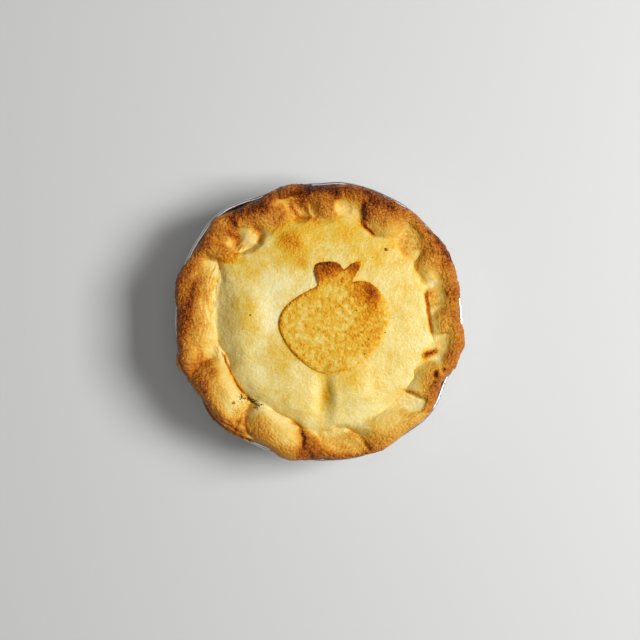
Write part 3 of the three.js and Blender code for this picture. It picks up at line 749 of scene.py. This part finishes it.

# %% [markdown]
# An oven browns what stands up and what lies outside, and leaves the hollows pale.
# So the browning follows the same folds and presses as the height does.
# Darker and paler spots are laid over that: on the rim by angle and radius, on the lid by x and y.
# Thin lines of painted shade, and one burnt streak, are drawn like creases, with a tone in place of a depth.

# %% Spots and streaks of browning, painted shade and painted light
# Browning and burnt spots; some darker ones are painted shade and some paler ones painted light.
RIM_BROWNING_AND_SHADING_SPOTS = [RimSpot(*spot) for spot in (
    (216, 45, 6, 2, 0.1), (208, 59, 6, 2.5, -0.1), (207, 48, 4, 2.5, 0.12), (206, 57, 6, 4, 0.1),
    (204, 50.5, 4.5, 3.2, 0.1), (200, 52, 1.6, 6, 0.1), (197, 53.5, 3, 2.2, 0.12),
    (197, 63.5, 4, 0.8, -0.16), (195.5, 57, 4, 2.5, -0.06), (195, 54, 3.5, 1.6, -0.04),
    (187.5, 52, 2, 7, -0.05), (181, 48.5, 8, 2.5, 0.11), (180, 53, 8, 2.5, 0.04), (178, 57.5, 7, 3, 0.15),
    (172, 60.6, 8, 1.4, -0.1), (170, 55.2, 9, 1.8, 0.17), (167, 58, 4, 1.6, -0.05),
    (166, 56.3, 7, 1.6, 0.2), (166, 53.5, 5, 2, 0.05), (165, 49, 8, 2.2, 0.04),
    (159.5, 57.2, 2.5, 1.4, -0.2), (157, 49.5, 4, 2, 0.1), (154, 54, 4, 4.5, -0.14),
    (148, 46.5, 3, 3.5, 0.1), (147, 58, 4, 2, 0.07), (146, 50, 3, 3.5, 0.08), (140.5, 52, 2.6, 5, 0.09),
    (137, 48, 2, 2.6, 0.12), (135.6, 53, 1.8, 3, 0.36), (131, 57.6, 1.4, 2.6, 0.2),
    (124.2, 46, 1.8, 2.6, 0.24), (121, 46, 3.5, 2.5, -0.1), (118, 55.6, 5, 2.2, 0.17),
    (117, 54, 3, 2, 0.08), (116, 52.5, 4, 2, 0.07), (115, 45.5, 4, 3, 0.08), (115, 53.5, 4, 2, 0.08),
    (110, 54, 3.6, 1.6, -0.14), (109, 47.5, 3.5, 3, 0.08), (103, 57.5, 5, 2.3, -0.08),
    (100, 53, 4, 2.8, 0.22), (97.5, 47, 2.4, 3, -0.1), (97, 53, 2.6, 6, 0.22), (92.5, 45.5, 1.6, 2, 0.16),
    (91, 56.8, 6, 2.6, 0.11), (90, 42.6, 3.2, 2, 0.12), (86, 46.5, 5, 2, -0.02), (85, 55.5, 5, 2, 0.05),
    (83, 53, 3, 5, 0.1), (79, 58.2, 3, 0.8, 0.14), (77, 56.4, 5, 2.6, 0.2), (71.5, 59.4, 3, 1.6, 0.12),
    (66.3, 50.5, 2.6, 7, 0.22), (62, 57, 3.2, 1.6, 0.13), (58.5, 58, 1.6, 0.8, 0.16),
    (54, 58.5, 4, 2.4, -0.1), (50, 50.5, 3.5, 5, -0.18), (49, 56.5, 3, 2, -0.1), (46, 49, 3, 4, 0.12),
    (39, 60.5, 1.2, 0.8, 0.3), (35, 47.5, 3, 1.8, 0.09), (33, 61.5, 4, 1, 0.22), (27, 62, 2, 1, 0.18),
    (23, 51, 4, 2.5, -0.08), (21, 51, 3.5, 3.5, -0.16), (15, 48.8, 5, 2.4, 0.13), (13, 58, 4, 2, 0.08),
    (12.5, 56, 1.2, 0.7, 0.22), (11, 53.5, 4, 2, -0.08), (3, 57.6, 4, 2.4, 0.03), (-7, 57.5, 4, 2, -0.06),
    (-11, 58, 3.5, 2.2, 0.05), (-15, 57.5, 2.5, 2, 0.12), (-18.5, 53, 1.8, 1.8, -0.28),
    (-18.5, 47.5, 3, 1.8, 0.2), (-21, 57, 0.7, 0.6, 0.4), (-21.5, 56, 2.4, 2.4, -0.13),
    (-24, 54.2, 1, 1, 0.7), (-27.5, 55.2, 0.9, 0.8, 0.26), (-30, 56, 5, 2.5, 0.1),
    (-35, 51, 3.4, 6, -0.16), (-38.5, 49, 2, 4, 0.1), (-40, 54, 2.5, 4, -0.05), (-42, 58.5, 4, 2, -0.05),
    (-62, 53, 5, 5, 0.06), (-63.5, 51.5, 3, 5, 0.07), (-66, 50, 3, 2.5, -0.08), (-67, 55, 3, 2.5, 0.1),
    (-74, 49, 2.4, 3.6, 0.12), (-80, 58, 8, 1.5, 0.02), (-80, 56, 8, 3, 0.04), (-82, 47.8, 7, 1.4, -0.16),
    (-91.5, 58, 3, 1.5, 0.1), (-92, 54, 3, 4, 0.06), (-97.5, 53, 2, 5, 0.16), (-98.5, 57.5, 2, 2.2, 0.2),
    (-99.5, 51, 2.4, 6, 0.05), (-102, 49.5, 2.5, 4, 0.06), (-104, 52, 5, 5, -0.06),
    (-120, 51, 4.5, 4, 0.17), (-122, 57.8, 3.2, 0.7, -0.4), (-127, 48.5, 2, 3.5, -0.1),
    (-127.4, 56, 2.4, 0.8, -0.26), (-131, 46, 4, 2.4, 0.1), (-132.5, 50.5, 2.2, 4, 0.05),
    (-136, 53.5, 6, 4.5, -0.14), (-136.8, 50, 0.6, 0.6, 0.45), (-150, 56, 4, 3, 0.1),
    (-156, 50, 5, 3, 0.06),
)]
# Browning spots on the lid; the darker ones on the falling left flank and in the dip are partly painted
# shade.
LID_BROWNING_AND_SHADE_SPOTS = [Bump(*spot) for spot in (  # as for the lid's bumps, with a tone in place of a rise
    (-12.9, 34.4, 7, 6, 0.24), (-15, 36.5, 2.6, 3, 0.08), (-10, 28, 6, 5, 0.1),
    (-6.8, 24.6, 1.6, 2.4, 0.12), (-30, 1, 5.5, 9, 0.15), (-39, 3, 4, 8, 0.06), (-12, -30, 6, 5, 0.1),
    (2.6, -31, 2.6, 7, 0.2), (-26, -20, 4, 5, -0.1), (34, 2, 7, 20, 0.04), (-20, -16, 8, 8, 0.1),
    (12, -24, 12, 6, 0.12), (20, 27, 10, 7, 0.12), (32, 11, 6, 9, 0.07), (27, 33, 6, 6, 0.09),
    (-21, 4, 4.5, 11, -0.12), (-25, -12, 5, 5, -0.05), (-16, 17, 6, 4, -0.05), (-2, -28, 8, 4, -0.05),
    (-4, 42.5, 5, 3.5, 0.14), (4, 38, 14, 6, 0.14), (11, 40, 5, 5, 0.12), (-29, 27, 9, 9, 0.11),
    (-33, 18, 6, 8, 0.05),
)]
# The first streak is a burnt one; the others are painted shade along the foot of a fold, a press or a crease.
SHADE_AND_BURNT_STREAKS = [
    Crease(0.48, 1.35, [(-13.2, 53.4), (-15.0, 50.4), (-17.2, 48.0), (-19.5, 46.0)]),
    Crease(0.14, 1.1, [(-129.2, 47.0), (-129.0, 53.0), (-128.2, 58.0)]),
    Crease(0.18, 1.7, [(129.0, 59.5), (131.0, 57.0), (133.0, 53.0), (136.7, 49.6), (139.0, 47.5)]),
    Crease(0.32, 0.7, [(69.5, 56.0), (67.2, 50.0), (66.4, 47.0), (62.5, 44.8), (56.5, 42.8)]),
    Crease(0.10, 1.3, [(36.8, 56.3), (33.5, 51.0), (29.5, 48.0), (25.9, 46.2)]),
    Crease(0.22, 0.8, [(-38.8, 46.2), (-37.8, 50.5), (-36.4, 55.2)]),
    Crease(0.30, 0.55, [(16.5, 47.1), (8.0, 46.7), (0.0, 46.6), (-4.0, 47.3), (-7.0, 48.8)]),
    Crease(0.42, 0.5, [(196.5, 43.4), (204, 43.6), (211.7, 43.8), (218, 44.5), (224.3, 45.4)]),
    Crease(0.20, 0.8, [(-97.3, 55.0), (-97.2, 50.0), (-100.2, 45.4), (-107, 44.6)]),
    Crease(0.22, 0.9, [(104.5, 53.4), (103.0, 49.0), (100.5, 45.6), (95.0, 44.6), (90.0, 43.5)]),
]
print(len(RIM_BROWNING_AND_SHADING_SPOTS), "spots on the rim,", len(LID_BROWNING_AND_SHADE_SPOTS), "on the lid and", len(SHADE_AND_BURNT_STREAKS), "streaks")

# %% [markdown]
# The browning of a place starts from the plain lid or the plain band. Folds and presses bring their own,
# then come the spots and the streaks, and painted shade in every crease and groove and in the low parts
# of the drag marks, wrinkles and pulled lines, whose high parts are painted paler.
# The same number later picks the colour, the gloss and how craggy the crust is.

# %% How brown each place is
LID_PALE, BAND_PALE, BAND_BROWN = 0.15, 0.22, 0.60
# painted shade: creases darker, and drag marks, wrinkles and pulled lines darker where low and paler where
# high
DRAG_SHADE, WRINKLE_SHADE, CREASE_SHADE, PULL_SHADE = 0.3, 0.35, 0.05, 0.05
# OUTLINE_SHADE is painted shade on the lid round the foot of the cut-out; PATCHY is random patchiness.
OUTLINE_SHADE, OUTLINE_WIDTH, PATCHY = 0.10, 0.8, 0.05


def fold_tone(fold, radius, deg):
    inner = mix(fold.inner_tone, fold.crest_tone, ease(1 + (radius - fold.crest) / fold.reach))
    reach_out = np.maximum(crust_edge(deg) - 2.0 - fold.crest, 1.0)
    outer = mix(fold.crest_tone, fold.edge_tone, ease((radius - fold.crest) / reach_out))
    return np.where(radius < fold.crest, inner, outer)


def from_outline(points_mm):
    """How far each point is from the outline of the cut-out, seen from above."""
    nearest = np.full(len(points_mm), np.inf)
    for x, y in outline.T:
        nearest = np.minimum(nearest, np.hypot(points_mm[:, 0] - x, points_mm[:, 1] - y))
    return nearest


def lid_tone(points_mm):
    tone = LID_PALE + 0.05 * lumps(points_mm, 14.0, 13) + 0.04 * lumps(points_mm, 5.0, 14)
    # painted shade on the lid where it meets the cut-out's edge
    tone = tone + OUTLINE_SHADE * np.exp(-((from_outline(points_mm) / OUTLINE_WIDTH) ** 2))
    return tone + humps(LID_BROWNING_AND_SHADE_SPOTS, points_mm[:, 0], points_mm[:, 1])


def baked(points_mm):
    radius, deg = by_hand(*polar(points_mm))
    outwards = ease((radius - seam(deg) - 2) / (crust_edge(deg) - seam(deg) - 3))
    tone = mix(lid_tone(points_mm), mix(BAND_PALE, BAND_BROWN, outwards), step_share(radius, deg))
    for fold in FOLDS:
        tone = mix(tone, fold_tone(fold, radius, deg), ease(1.5 * (1 - fold_spread(fold, radius, deg))))
    for press in PRESSES:
        # painted shade: darker in the drag grooves, paler on the drag ridges
        dragged = press.tone - DRAG_SHADE * drag_marks(press, radius, deg)
        tone = mix(tone, dragged, ease(1.4 * (1.1 - press_spread(press, radius, deg))))
    # rim spots: browning, with painted shade and painted light among them
    for spot in RIM_BROWNING_AND_SHADING_SPOTS:
        tone = tone + spot.value * spot_share(spot, radius, deg)
    x, y = on_plane(radius, deg)
    # painted shade in the creases, then the streaks
    for crease in CREASES:
        tone = tone + CREASE_SHADE * crease.depth * crease_share(crease, x, y)
    for streak in SHADE_AND_BURNT_STREAKS:
        tone = tone + streak.depth * crease_share(streak, x, y)
    # painted shade: darker in the low parts of wrinkles and pulled lines, paler on their high parts
    tone = tone - WRINKLE_SHADE * wrinkles(radius, deg) - PULL_SHADE * pulled(radius, deg)
    return tone + PATCHY * lumps(points_mm, 3.0, 17)


case_tone = baked(read_points(pastry_case.data) / MM)
lid_bake = baked(read_points(pastry_lid.data) / MM)
print("case", case_tone.min().round(2), "to", case_tone.max().round(2), "and lid", lid_bake.mean().round(2))

# %% [markdown]
# Baked dough is never smooth. It has soft swellings a centimetre wide, and where it browned and dried
# it is cracked into crags of a millimetre or two with a sandy grain.
# All of it is pushed out along the normals, so it is there from every side and in the mesh itself.

# %% Swellings, crags and grain of the crust
PULL_RELIEF = 0.055


def crust_relief(piece, tone, soft, crag, grain):
    points = read_points(piece.data) / MM
    rough = ease((tone - 0.40) / 0.3)
    push = soft * lumps(points, 9.0, 21) + 0.6 * soft * lumps(points, 4.0, 22)
    push += crag * rough * (0.4 - np.abs(lumps(points, 2.6, 23))) * 2.0
    push += crag * rough * (0.4 - np.abs(lumps(points, 1.3, 26)))
    push += crag * mix(0.11, 0.5, rough) * lumps(points, 1.4, 24)
    push += grain * mix(0.3, 1.2, rough) * lumps(points, 0.8, 25)
    push += crag * mix(0.24, 0.1, rough) * (np.abs(lumps(points, 1.7, 27)) - 0.3)
    push += PULL_RELIEF * pulled(*polar(points)) * (points[:, 2] > EDGE_Z)
    push_along_normals(piece, push)


crust_relief(pastry_case, case_tone, soft=0.14, crag=0.32, grain=0.14)
paint(pastry_case, "bake", case_tone)
crust_relief(pastry_lid, lid_bake, soft=0.20, crag=0.32, grain=0.12)
paint(pastry_lid, "bake", lid_bake)
print("case now reaches", read_points(pastry_case.data)[:, 2].max().round(5), "m up")

# %% [markdown]
# The cut-out stands clear of the lid, so it browned more, most of all at its stem, its leaf and one shoulder.
# A darker line of painted shade runs along the side of its outline that faces away from the lamp.

# %% Relief and browning of the cut-out
APPLE_SPOTS = [Bump(*spot) for spot in (
    (3.2, 23.2, 6.5, 4.4, 0.4), (15.2, 23.2, 2.8, 3.2, 0.34), (20.5, 13.2, 6, 5.4, 0.34),
    (3, -15, 8, 5, 0.04), (2, -4.5, 3, 4, 0.04), (22, 3, 5, 7, 0.1), (18, -8, 8, 6, 0.06),
)]
APPLE_GOLD, APPLE_SHADE_LINE, APPLE_SHADE_WIDTH = 0.31, 0.22, 1.3
apple_points = read_points(apple_cutout.data) / MM
apple_x, apple_y = apple_points[:, 0], apple_points[:, 1]
apple_tone = APPLE_GOLD + 0.03 * lumps(apple_points, 4.5, 15) + 0.12 * lumps(apple_points, 1.4, 16)
shaded_side = ease(0.55 + (apple_y * 0.5 - apple_x) / 30.0)
# painted shade: the outline is darker on the side away from the lamp
apple_tone += APPLE_SHADE_LINE * shaded_side * np.exp(-((from_outline(apple_points) / APPLE_SHADE_WIDTH) ** 2))
apple_tone = apple_tone + humps(APPLE_SPOTS, apple_x, apple_y)
crust_relief(apple_cutout, apple_tone, soft=0.07, crag=0.16, grain=0.10)
paint(apple_cutout, "bake", apple_tone)
print("apple tone", apple_tone.min().round(2), "to", apple_tone.max().round(2))

# %% [markdown]
# A finish is a small network of nodes, and nodes are wordy to add one by one. This bench does it.
# A plain number or colour is set on the socket itself, and another node's output is wired to it.
# All noise lies in object coordinates, so it stays where it is on the piece from every side.

# %% A bench for finishes
class Finish:
    def __init__(self, name):
        self.material = bpy.data.materials.new(name)
        self.material.use_nodes = True
        self.tree = self.material.node_tree
        self.shader = self.tree.nodes["Principled BSDF"]

    def put(self, node, socket, value):
        if isinstance(value, bpy.types.NodeSocket):
            self.tree.links.new(value, node.inputs[socket])
        else:
            node.inputs[socket].default_value = value

    def set(self, socket, value):
        self.put(self.shader, socket, value)

    def node(self, kind, **inputs):
        node = self.tree.nodes.new(kind)
        for socket, value in inputs.items():
            self.put(node, socket, value)
        return node

    def math(self, operation, a, b):
        node = self.tree.nodes.new("ShaderNodeMath")
        node.operation = operation
        self.put(node, 0, a)
        self.put(node, 1, b)
        return node.outputs[0]

    def add(self, a, b):
        return self.math("ADD", a, b)

    def times(self, a, b):
        return self.math("MULTIPLY", a, b)

    def stored(self, name):
        """The number that was painted on each point."""
        node = self.tree.nodes.new("ShaderNodeAttribute")
        node.attribute_name = name
        return node.outputs["Fac"]

    def place(self):
        return self.tree.nodes.new("ShaderNodeTexCoord").outputs["Object"]

    def noise(self, scale, detail):
        node = self.node("ShaderNodeTexNoise", Vector=self.place(), Scale=scale, Detail=detail)
        return node.outputs["Fac"]

    def bump(self, height, strength, distance):
        node = self.node("ShaderNodeBump", Height=height, Strength=strength, Distance=distance)
        return node.outputs["Normal"]

    def ramp(self, at, colours):
        node = self.node("ShaderNodeValToRGB", Fac=at)
        stops = node.color_ramp.elements
        while len(stops) < len(colours):
            stops.new(0.5)
        for stop, (position, colour) in zip(stops, colours):
            stop.position = position
            stop.color = colour
        return node.outputs["Color"]


def from_screen(red, green, blue):
    """A colour as it shows on screen, made linear for the shader."""
    parts = [channel / 255 for channel in (red, green, blue)]
    return (*(((part + 0.055) / 1.055) ** 2.4 if part > 0.04 else part / 12.92 for part in parts), 1.0)


print("mid grey on screen is", round(from_screen(128, 128, 128)[0], 3), "in the shader")

# %% [markdown]
# All three pastry pieces came out of one oven, so they share one finish.
# Its colour runs along a ramp from raw dough to burnt, at the place that the stored browning gives.
# Three sizes of noise shift that place a little, which mottles the crust as fat and flour do.
# Where it browned it is also blistered and a little glossy from the fat.
# A painted picture would do it too, but nodes need no file and show no seam.

# %% Pastry finish
RAMP_STOPS = (0.0, 0.14, 0.30, 0.44, 0.58, 0.72, 0.86, 1.0)
RIM_COLOURS = [
    (248, 236, 182), (243, 220, 144), (231, 187, 80), (222, 152, 44),
    (204, 119, 26), (170, 82, 12), (116, 46, 6), (66, 26, 6),
]
LID_COLOURS = [
    (248, 238, 188), (244, 222, 142), (231, 186, 54), (231, 151, 5),
    (206, 109, 2), (168, 76, 2), (104, 44, 8), (48, 20, 8),
]
MOTTLES = ((260.0, 0.24), (700.0, 0.40), (1450.0, 0.72))  # noise scale and its share of the browning
CRUST_FROM = 0.28  # browned past this, the dough is crust and speckles more
DRY_ROUGH, PATCH_SCALE, PATCH_ROUGH, FAT_SMOOTHS = 0.36, 420.0, 0.40, -0.20
SHINE, SHINE_TINT, GLAZE_ROUGH = 0.36, (1.0, 0.78, 0.44, 1.0), 0.18
GRAIN_SCALE, BLISTER_SCALE, BLISTER_SHARE, GRAIN_HEIGHT = 1100.0, 760.0, -0.45, 0.0020


def pastry_finish(name, colours, mottle, speckle, glaze):
    finish = Finish(name)
    bake = finish.stored("bake")
    crusted = finish.math("MAXIMUM", finish.add(bake, -CRUST_FROM), 0.0)
    spread = finish.add(finish.times(crusted, speckle), mottle)
    shift = 0.0
    for scale, share in MOTTLES:
        shift = finish.add(shift, finish.times(finish.add(finish.noise(scale, 2.0), -0.5), share))
    tone = finish.add(bake, finish.times(shift, spread))
    stops = [(at, from_screen(*colour)) for at, colour in zip(RAMP_STOPS, colours)]
    finish.set("Base Color", finish.ramp(tone, stops))
    dry = finish.add(finish.times(finish.noise(PATCH_SCALE, 2.0), PATCH_ROUGH), DRY_ROUGH)
    finish.set("Roughness", finish.add(finish.times(bake, FAT_SMOOTHS), dry))
    finish.set("Specular IOR Level", SHINE)
    finish.set("Specular Tint", SHINE_TINT)
    crusty = finish.math("MAXIMUM", finish.add(finish.times(bake, 2.0), -0.5), 0.10)
    blisters = finish.node("ShaderNodeTexVoronoi", Vector=finish.place(), Scale=BLISTER_SCALE)
    domes = finish.times(blisters.outputs["Distance"], BLISTER_SHARE)
    grain = finish.add(finish.noise(GRAIN_SCALE, 4.0), domes)
    normal = finish.bump(finish.times(grain, crusty), 1.0, GRAIN_HEIGHT)
    finish.set("Normal", normal)
    finish.set("Coat Normal", normal)
    finish.set("Coat Weight", glaze)
    finish.set("Coat Roughness", GLAZE_ROUGH)
    return finish.material


rim_pastry = pastry_finish("browned_rim_pastry", RIM_COLOURS, mottle=0.22, speckle=1.5, glaze=0.17)
pastry_case.data.materials.append(rim_pastry)
pale_pastry = pastry_finish("pale_lid_pastry", LID_COLOURS, mottle=0.32, speckle=0.2, glaze=0.11)
pastry_lid.data.materials.append(pale_pastry)
golden_pastry = pastry_finish("golden_cutout_pastry", LID_COLOURS, mottle=0.46, speckle=0.3, glaze=0.05)
apple_cutout.data.materials.append(golden_pastry)
print("pastry finishes with", len(RAMP_STOPS), "colours each")

# %% [markdown]
# Ovens leave crumbs: specks of burnt flour on the lid, a blister that burst, and a trail of burnt sugar
# where syrup bubbled up through the seam. Each is a small ball pressed flat and sunk into what it lies on.
# They could be scattered as particles, but the larger ones have places of their own and the sugar lies
# along a line, so a loop sets them one by one.
# They are one mesh, so they count as one piece, and each carries its own browning.

# %% Burnt specks and sugar crumbs
Speck = namedtuple("Speck", "x y size tone lift", defaults=[0.0])
SPECKS = [Speck(*speck) for speck in (
    (-29.7, 3.0, 0.50, 1.0), (22.4, 27.5, 0.30, 0.9), (9.1, 17.2, 0.34, 0.9), (14.2, 10.8, 0.32, 0.9),
    (15.6, 4.8, 0.34, 0.9), (17.6, -4.3, 0.40, 0.78), (20.7, -7.3, 0.34, 0.74), (27.8, -4.5, 0.42, 0.66),
    (19.0, -13.6, 0.42, 0.74), (12.9, -19.7, 0.30, 0.80), (28.4, 31.0, 1.05, 0.64),
    (28.6, 31.1, 0.64, 0.36, 0.25), (-33.0, -3.0, 0.30, 0.55), (9.0, 17.9, 0.20, 0.8),
)]
SUGAR_FROM, SUGAR_TO = np.array([-33.4, -30.8]), np.array([-25.8, -36.2])
SUGAR_CRUMBS, SUGAR_SPREAD, SUGAR_SIZES = 90, np.array([1.1, 0.77]), (0.12, 0.38)
SUGAR_TONES, DUST_TONES = (0.66, 0.86, 1.0), (0.05, 0.5, 0.66, 0.8)
DUST_MIDDLE, DUST_CRUMBS, DUST_SPREAD, DUST_SIZES = np.array([-33.0, -37.6]), 34, 2.2, (0.14, 0.3)
chance = np.random.default_rng(7)
for share in chance.uniform(0.0, 1.0, SUGAR_CRUMBS):
    crumb_x, crumb_y = mix(SUGAR_FROM, SUGAR_TO, share) + chance.normal(0.0, SUGAR_SPREAD)
    SPECKS.append(Speck(crumb_x, crumb_y, chance.uniform(*SUGAR_SIZES), chance.choice(SUGAR_TONES)))
for crumb_x, crumb_y in chance.normal(DUST_MIDDLE, DUST_SPREAD, (DUST_CRUMBS, 2)):
    SPECKS.append(Speck(crumb_x, crumb_y, chance.uniform(*DUST_SIZES), chance.choice(DUST_TONES)))
skin = np.vstack([read_points(piece.data) / MM for piece in (pastry_case, pastry_lid, apple_cutout)])
SPECK_REACH = 0.42  # a speck lies on the highest point of the skin this near
SPECK_WIDE, SPECK_HIGH, SPECK_CROOKED = 0.8, 0.6, 0.12

bm = bmesh.new()
speck_tone = []
for speck in SPECKS:
    near = np.hypot(skin[:, 0] - speck.x, skin[:, 1] - speck.y) < SPECK_REACH
    at = Matrix.Translation(Vector((speck.x, speck.y, skin[near, 2].max() + speck.lift)) * MM)
    flat = Matrix.Diagonal(Vector((1.0, SPECK_WIDE, SPECK_HIGH)) * speck.size * MM).to_4x4()
    ball = bmesh.ops.create_icosphere(bm, subdivisions=1, radius=1.0, matrix=at @ flat)
    speck_tone += [speck.tone] * len(ball["verts"])
speck_mesh = bpy.data.meshes.new("burnt_specks")
bm.to_mesh(speck_mesh)
bm.free()
speck_mesh.shade_smooth()
burnt_specks = bpy.data.objects.new("burnt_specks", speck_mesh)
bpy.context.scene.collection.objects.link(burnt_specks)
push_along_normals(burnt_specks, SPECK_CROOKED * lumps(read_points(speck_mesh) / MM, 0.5, 51))
paint(burnt_specks, "bake", np.array(speck_tone))
burnt_sugar = pastry_finish("burnt_sugar", LID_COLOURS, mottle=0.1, speckle=0.1, glaze=0.3)
speck_mesh.materials.append(burnt_sugar)
print(len(SPECKS), "specks and crumbs")

# %% [markdown]
# Foil is bare aluminium: a mirror, but crumpled so finely that it only glints. Light that falls into a pleat
# bounces between its sides and loses some of its strength. Over a pale floor a mirror shows little of its
# own shape, so deep in the pleats the foil is painted darker, as painted shade.
# The rolled rim is a little rougher than the wall.

# %% Foil finish
# The darker pleat colour is painted shade for the foil deep in a pleat.
OPEN_FOIL, PLEAT_SHADE_FOIL = (0.83, 0.83, 0.84, 1.0), (0.50, 0.50, 0.51, 1.0)
FOIL_ROUGH, BEAD_ROUGHER = 0.20, 0.12
CRINKLE_SCALE, CRINKLE_STRENGTH, CRINKLE_HEIGHT = 150.0, 0.5, 0.0012


def foil_finish():
    finish = Finish("crinkled_foil")
    finish.set("Base Color", finish.ramp(finish.stored("pleat"), [(0.0, OPEN_FOIL), (1.0, PLEAT_SHADE_FOIL)]))
    finish.set("Metallic", 1.0)
    finish.set("Roughness", finish.add(finish.times(finish.stored("rolled"), BEAD_ROUGHER), FOIL_ROUGH))
    finish.set("Normal", finish.bump(finish.noise(CRINKLE_SCALE, 3.0), CRINKLE_STRENGTH, CRINKLE_HEIGHT))
    return finish.material


foil_points = read_points(foil_tin.data) / MM
foil_radius, foil_deg = polar(foil_points)
foil_z = foil_points[:, 2]
inward = (tin_wall(foil_deg, foil_z) - foil_radius) / PLEAT_DEPTH
# painted shade: how deep in a pleat each point lies, for the darker foil colour
pleat_shade = np.clip(inward, 0, 1) * (foil_z > TIN_CORNER)
paint(foil_tin, "pleat", pleat_shade)
paint(foil_tin, "rolled", ease(foil_z - TIN_RIM_Z + 2 * TIN_BEAD))
foil_tin.data.materials.append(foil_finish())
print("share of the foil deep in pleats", (pleat_shade > 0.5).mean().round(2))

# %% [markdown]
# The studio is plain: a pale floor that hides nothing and throws light back up at the tin.
# It is one flat quad, so wide that its edge stays out of sight. It is stage, and no part of the pie.

# %% Floor
FLOOR_HALF = 3.0
bm = bmesh.new()
bmesh.ops.create_grid(bm, x_segments=1, y_segments=1, size=FLOOR_HALF)
floor_mesh = bpy.data.meshes.new("floor")
bm.to_mesh(floor_mesh)
bm.free()
floor = bpy.data.objects.new("floor", floor_mesh)
bpy.context.scene.collection.objects.link(floor)
floor_finish = Finish("pale_floor")
floor_finish.set("Base Color", (0.72, 0.72, 0.71, 1.0))
floor_finish.set("Roughness", 0.9)
floor.data.materials.append(floor_finish.material)
print("floor", 2 * FLOOR_HALF, "m wide")

# %% [markdown]
# One soft lamp from the right shapes the folds, as daylight from a window would.
# A broad one overhead and a little light from everywhere fill the shadows.
# The camera looks straight down, because such a crust shows best from there.

# %% Lamps and camera
RIM_PLANE = 0.0335
PICTURE_WIDTH_M = 0.2752  # width of the picture at the rim's height
PICTURE_MIDDLE_Y = 0.00086
LENS, SENSOR = 85.0, 36.0


def soft_lamp(name, place, aim, size, power):
    lamp = bpy.data.lights.new(name, "AREA")
    lamp.size = size
    lamp.energy = power
    holder = bpy.data.objects.new(name, lamp)
    holder.location = place
    holder.rotation_euler = (Vector(aim) - Vector(place)).to_track_quat("-Z", "Y").to_euler()
    bpy.context.scene.collection.objects.link(holder)


soft_lamp("key_lamp", place=(0.71, 0.06, 0.85), aim=(0.0, 0.0, 0.03), size=0.44, power=12.0)
soft_lamp("top_lamp", place=(0.0, 0.0, 1.6), aim=(0.0, 0.0, 0.0), size=1.0, power=3.0)
world = bpy.data.worlds.new("studio")
world.use_nodes = True
glow = world.node_tree.nodes["Background"].inputs
glow["Color"].default_value = (1.0, 0.99, 0.97, 1.0)
glow["Strength"].default_value = 0.10
bpy.context.scene.world = world
bpy.context.scene.view_settings.view_transform = "Standard"

camera = bpy.data.objects.new("camera", bpy.data.cameras.new("camera"))
camera.data.lens = LENS
camera.data.sensor_width = SENSOR
camera.location = (0.0, PICTURE_MIDDLE_Y, RIM_PLANE + PICTURE_WIDTH_M * LENS / SENSOR)
bpy.context.scene.collection.objects.link(camera)
bpy.context.scene.camera = camera
print("camera", round(camera.location.z, 3), "m up")

# %% [markdown]
# Last, each fine piece says which solid it stands for, hides it and is tied to what it moves with.
# A pie has no joints, so everything rides on the one body.

# %% Tie the pieces to the frame
for piece, node, finish in (
    (foil_tin, "foil_tin", "foil"),
    (pastry_case, "pastry_case", "case_pastry"),
    (pastry_lid, "pastry_lid", "lid_pastry"),
    (apple_cutout, "apple_cutout", "cutout_pastry"),
):
    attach(piece, "root")
    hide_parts(node)
    print(piece.name, "stands for", node)
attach(burnt_specks, "root")
